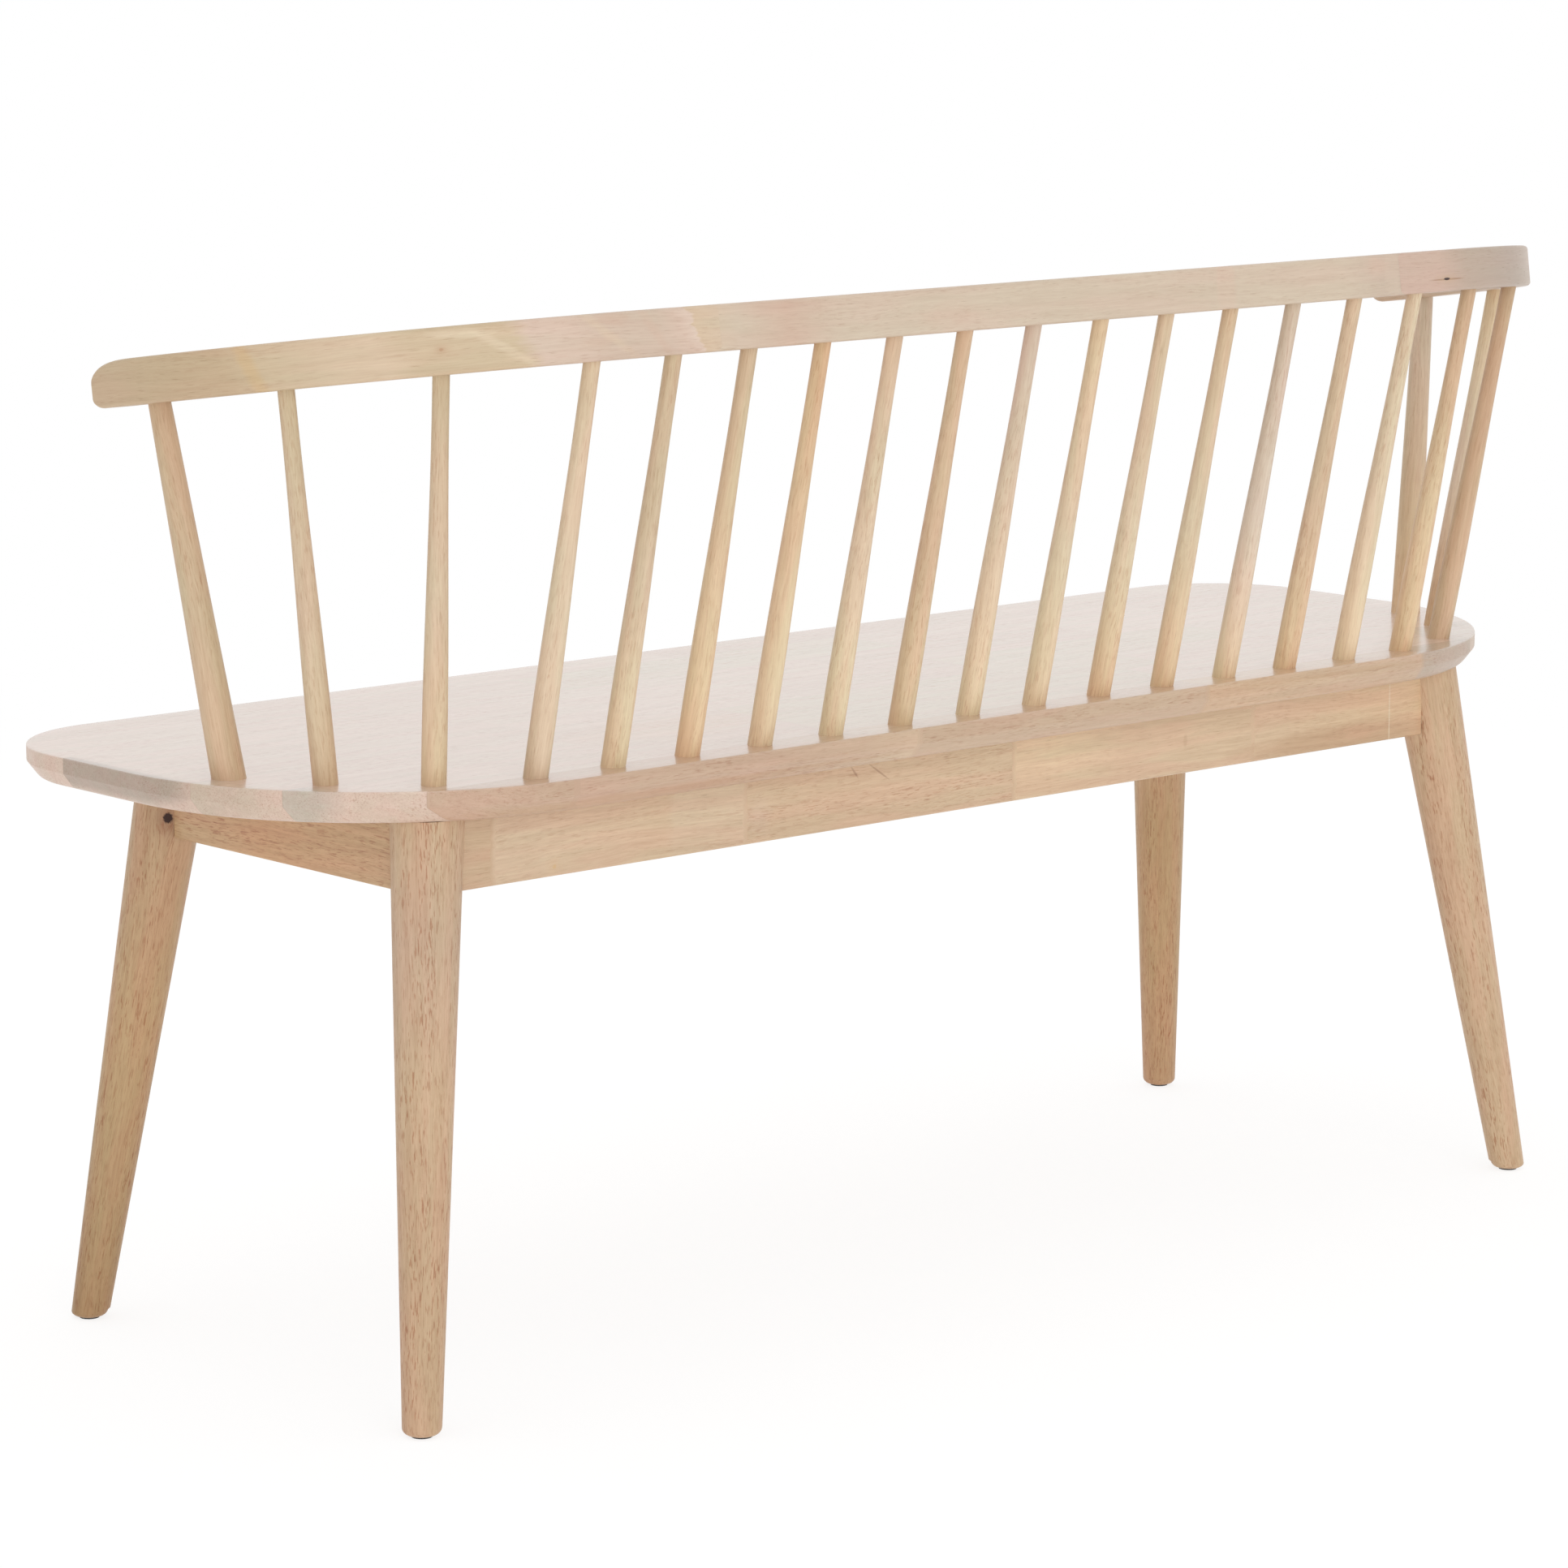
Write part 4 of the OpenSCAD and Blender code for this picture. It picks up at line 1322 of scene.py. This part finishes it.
def seat_finish() -> Wood:
    """The seat's seven rows of staves, from the front, each with its end joints and tones."""
    rows = (
        row(0.70, (-0.70, "lily", 0.11), (-0.36, "petal", 0.32), (0.02, "lily", 0.57),
            (0.37, "petal", 0.73)),
        row(0.70, (-0.70, "petal", 0.91), (-0.47, "lily", 0.22), (-0.16, "ash", 0.66),
            (0.19, "petal", 0.41), (0.49, "lily", 0.83)),
        row(0.70, (-0.70, "lily", 0.35), (-0.33, "petal", 0.78), (-0.05, "lily", 0.15),
            (0.26, "0.26 petal 0.59 lily 0.644 lily 0.651 slate", 0.52)),
        row(0.70, (-0.70, "lily", 0.61), (-0.42, "ash", 0.08), (-0.13, "petal", 0.45),
            (0.07, "lily", 0.95),
            (0.33, "0.33 petal 0.58 lily 0.644 lily 0.651 slate", 0.27)),
        row(0.70, (-0.70, "lily", 0.50), (-0.26, "ash", 0.70), (0.16, "petal", 0.19),
            (0.34, "0.34 lily 0.618 lily 0.636 stone", 0.88)),
        row(0.70, (-0.70, "stone", 0.44), (-0.52, "lily", 0.29), (-0.21, "ash", 0.60),
            (0.16, "petal", 0.97), (0.334, "0.334 lily 0.585 lily 0.602 chalk", 0.33)),
        row(0.70, (-0.70, "pebble", 0.37), (-0.5057, "pebble", 0.63),
            (-0.4527, "-0.4527 dune -0.25 buff", 0.12), (-0.1974, "dune", 0.81),
            (0.1071, "0.1071 flax 0.16 dune 0.25 russet", 0.48), (0.435, "russet", 0.05),
            (0.543, "0.543 ash 0.57 stone", 0.71)),
    )
    patches = (
        Patch((0.365, 0.172, -0.0205), (0.145, 0.03, 0.0062), Tone.CLAY, 0.6, 0.0, 0.9, 0.5),
        Patch((0.23, 0.179, -0.017), (0.10, 0.01, 0.0018), Tone.CLAY, 0.4, 0.0, 0.9, 0.5),
        Patch((-0.33, 0.185, -0.006), (0.13, 0.006, 0.0016), Tone.CLAY, 0.35, 0.0, 1.2, 0.6),
        Patch((0.24, 0.060, 0.0), (0.085, 0.035, 0.01), Tone.PEACH, 0.25, 0.0, 0.6, 0.6),
    )
    limits = (-0.197, -0.127, -0.0553, 0.0182, 0.0845, 0.1534)
    return Wood("seat_wood", rows, limits, figure=0.75, pore_length=0.9, patches=patches, seam=0.2,
                coat=1.0, coat_roughness=0.2, coat_ior=1.6, top_coat_only=True)


def bow_finishes() -> dict[str, Wood]:
    """The bow's three pieces: a strongly figured near arm, a calm back rail and a rosy far arm."""
    cream, rose, blush = Tone.CREAM, Tone.ROSE, Tone.BLUSH
    near = ("0 hay 0.137 hay 0.160 olive 0.212 oat 0.245 oat 0.268 olive 0.331 olive 0.345 bloom "
            "0.374 bloom 0.392 dusk 0.437 dusk 0.455 bloom 0.4665 shell 0.4685 oat 0.52 ash")
    back = "0.45 oat 0.50 ash 0.545 blush 0.60 ash 0.86 ash 1.12 ash 1.165 stone"
    far = "1.18 mauve 1.23 mauve 1.262 pebble 1.342 slate 1.45 stone 1.65 flax"
    near_patches = (
        Patch((0.1485, 0.015, 0.016), (0.0050, 0.02, 0.04), Tone.GOLD, 0.8, 0.45, 0.9, 0.7),
        Patch((0.3165, 0.015, 0.014), (0.0055, 0.02, 0.013), cream, 0.6, 1.44, 0.9, 0.6),
        Patch((0.2890, 0.015, 0.0265), (0.018, 0.02, 0.0028), cream, 0.55, 3.0, 0.9, 0.6),
        Patch((0.3820, 0.015, 0.0125), (0.013, 0.02, 0.0045), blush, 0.5, 0.0, 1.7, 0.6),
        Patch((0.3930, 0.015, 0.0280), (0.013, 0.02, 0.0040), blush, 0.5, 0.0, 1.6, 0.6),
        Patch((0.3850, 0.015, 0.0200), (0.0045, 0.02, 0.016), cream, 0.35, 1.2, 1.3, 0.7),
        Patch((0.4240, 0.015, 0.0180), (0.0040, 0.02, 0.03), blush, 0.35, 0.7, 1.4, 0.7),
    )
    back_patches = (
        Patch((0.9885, 0.015, 0.017), (0.010, 0.02, 0.03), rose, 0.5, 0.0, 0.5, 0.3),
        Patch((0.7025, 0.015, 0.012), (0.030, 0.02, 0.008), rose, 0.5, 0.0, 1.2, 0.6),
        Patch((1.1575, 0.015, 0.024), (0.012, 0.02, 0.006), rose, 0.5, 0.0, 1.4, 0.6),
        Patch((1.1745, 0.015, 0.017), (0.008, 0.02, 0.03), Tone.MILK, 0.15, 0.0, 0.4, 0.3),
    )
    far_patch = Patch((1.2370, 0.015, 0.0092), (0.017, 0.02, 0.0007), Tone.UMBER, 0.8, 0.0, 0.6)
    near_knot = Knot((0.2751, 0.015, 0.017), 0.0011, 1.4, Tone.CLAY, Tone.CLAY)
    far_knot = Knot((1.2370, 0.015, 0.0095), 0.0011, 3.4, Tone.KNOT, Tone.BISCUIT)
    return {
        "bow_arm_left": Wood("bow_wood_near", (row(0.60, (0.0, near, 0.21)),), figure=0.68, pores=0.20,
                             ragged=0.020, slant=0.45, patches=near_patches, knots=(near_knot,), coat=0.0),
        "bow_back": Wood("bow_wood_back", (row(1.21, (0.45, back, 0.58)),), figure=0.6, pores=0.18,
                         ragged=0.014, patches=back_patches, coat=0.2),
        "bow_arm_right": Wood("bow_wood_far", (row(1.68, (1.10, far, 0.84)),), figure=0.5, pores=0.16,
                              ragged=0.008, patches=(far_patch,), knots=(far_knot,), coat=0.2),
    }


def apron_finishes() -> dict[str, Wood]:
    """The aprons' finger-jointed boards. Grain z is measured down from the seat."""
    rear = row(0.53, (-0.53, "-0.50 honey -0.32 tan", 0.33),
               (-0.300, "-0.300 tan -0.17 tan -0.08 straw", 0.71), (-0.036, "tan", 0.14),
               (0.2365, "0.25 sand 0.308 sand 0.312 tan 0.45 sand", 0.52), (0.4726, "buff", 0.87))
    patches = (
        Patch((-0.41, 0.012, -0.047), (0.11, 0.02, 0.011), Tone.CLAY, 0.75, 0.0, 0.8, 0.5),
        # This long patch darkens the apron's lower edge across several boards: painted shade
        Patch((0.120, 0.012, -0.053), (0.38, 0.02, 0.015), Tone.BISCUIT, 0.4, 0.0, 0.8, 0.7),
        Patch((-0.462, 0.012, -0.027), (0.0008, 0.02, 0.03), Tone.CREAM, 0.8, 0.0, 0.1, 0.3),
        Patch((0.130, 0.012, -0.0125), (0.0011, 0.02, 0.0042), Tone.UMBER, 0.5, -0.75, 0.5, 0.5),
        Patch((0.105, 0.012, -0.0150), (0.0012, 0.02, 0.0065), Tone.UMBER, 0.5, -1.45, 0.5, 0.5),
        Patch((-0.223, 0.012, -0.028), (0.0022, 0.02, 0.005), Tone.BISCUIT, 0.6, 0.0, 0.4, 0.4),
        Patch((0.225, 0.012, -0.035), (0.010, 0.02, 0.012), Tone.ROSE, 0.35, 0.0, 1.2, 0.7),
    )
    knot = Knot((0.4186, 0.012, -0.047), 0.0018, 1.0, Tone.AMBER, Tone.HONEY)
    front = row(0.53, (-0.53, "tan", 0.61), (-0.21, "straw", 0.25), (0.12, "honey", 0.93))
    left = row(0.15, (-0.21, "-0.15 nut -0.05 terra 0.12 nut", 0.40))
    return {
        "apron_rear": Wood("apron_wood_rear", (rear,), pores=0.24, ragged=0.006, dotted=(-0.036, 0.2365),
                           patches=patches, knots=(knot,)),
        "apron_front": Wood("apron_wood_front", (front,), pores=0.55),
        "apron_left": Wood("apron_wood_left", (left,), figure=1.4, pores=0.8, ragged=0.01),
        "apron_right": Wood("apron_wood_right", (row(0.15, (-0.21, "amber", 0.77)),), pores=0.6),
    }


# Tones of each upright at the seat, a little under half way up and at the bow, from the sitter's left
# The ivory and corn feet are lighter than the wood above them: painted light near the seat
UPRIGHT_TONES = {
    "arm_post_left": "tan olive buff", "spindle_01": "tan oat olive", "spindle_02": "straw oat olive",
    "spindle_03": "cream cream sand", "spindle_04": "ivory oat olive", "spindle_05": "corn straw olive",
    "spindle_06": "ivory straw honey", "spindle_07": "ivory cream sand", "spindle_08": "straw tan tan",
    "spindle_09": "ivory cream bloom", "spindle_10": "ivory cream straw", "spindle_11": "corn cream sand",
    "spindle_12": "corn cream tan", "spindle_13": "ivory shell ash", "spindle_14": "corn sand sand",
    "spindle_15": "ivory cream cream", "spindle_16": "corn straw buff", "spindle_17": "tan buff biscuit",
    "spindle_18": "honey milk straw", "arm_post_right": "corn sand ash",
}

# Side, whether at the rear, tones from foot to seat, and seed of each leg
# The front legs darken towards the foot, and the left rear leg a little: painted shade near the floor
# The right front leg's light top is painted light against the shade under the seat
LEG_TONES = {
    "leg_rear_left": (1, True, "0 biscuit 0.3 biscuit 0.55 buff 0.8 dune 1 buff", 0.17),
    "leg_front_left": (1, False, "0 fawn 0.28 hazel 0.55 bran 1 biscuit", 0.43),
    "leg_rear_right": (-1, True, "0 buff 1 buff", 0.69),
    "leg_front_right": (-1, False, "0 clay 0.3 bran 0.6 bran 1 tan", 0.91),
}


def main() -> None:
    """Builds the bench piece by piece, then the studio."""
    logging.basicConfig(level=logging.INFO, format="%(name)s: %(message)s")
    seat = Seat()
    seat.build(seat_finish().material())
    bow = Bow()
    for name, finish in bow_finishes().items():
        if name == "bow_back":
            bow.build_back(finish.material())
        else:
            bow.build_arm(1 if name.endswith("left") else -1, name, finish.material())
    uprights = Uprights(seat, bow)
    spindle_wood = Wood("spindle_wood", pores=0.4, pore_length=1.3, coat=0.0, shine=0.3).material()
    # The uprights' seeds are spread over the span from 0 to 1
    for index, (name, tones) in enumerate(UPRIGHT_TONES.items()):
        low, middle, high = tones.split()
        seed = math.fmod(0.37 * index + 0.13, 1.0)
        uprights.build(index, name, f"0 {low} 0.45 {middle} 1 {high}", seed, spindle_wood)
    legs = Legs(seat)
    leg_wood = Wood("leg_wood", figure=1.2, pores=0.95, pore_length=1.1, coat=0.0, shine=0.3)
    knot = Knot((0.3933, 0.0140, 0.0212), 0.0040, 1.15)
    knotted = replace(leg_wood, name="leg_wood_knotted", knots=(knot,))
    plain, marked = leg_wood.material(), knotted.material()
    for name, (side, rear, tones, seed) in LEG_TONES.items():
        legs.build(side, rear, name, tones, seed, marked if name == "leg_front_left" else plain)
    aprons = Aprons(legs)
    (x, rear_y, _), (_, front_y, _) = aprons.middles()
    end, low, high = x - aprons.stop, front_y + aprons.stop, rear_y - aprons.stop
    finishes = {name: finish.material() for name, finish in apron_finishes().items()}
    for name, *place in (
        ("apron_rear", True, rear_y, -end, end, False), ("apron_front", True, front_y, -end, end, True),
        ("apron_left", False, x, low, high, False), ("apron_right", False, -x, low, high, True),
    ):
        aprons.build(name, *place, finishes[name])
    Fixings().dress()
    studio = Studio()
    studio.camera()
    studio.world()
    studio.lamps()
    studio.floor()
    bpy.context.scene.view_settings.view_transform = "Standard"


if __name__ == "__main__":
    main()
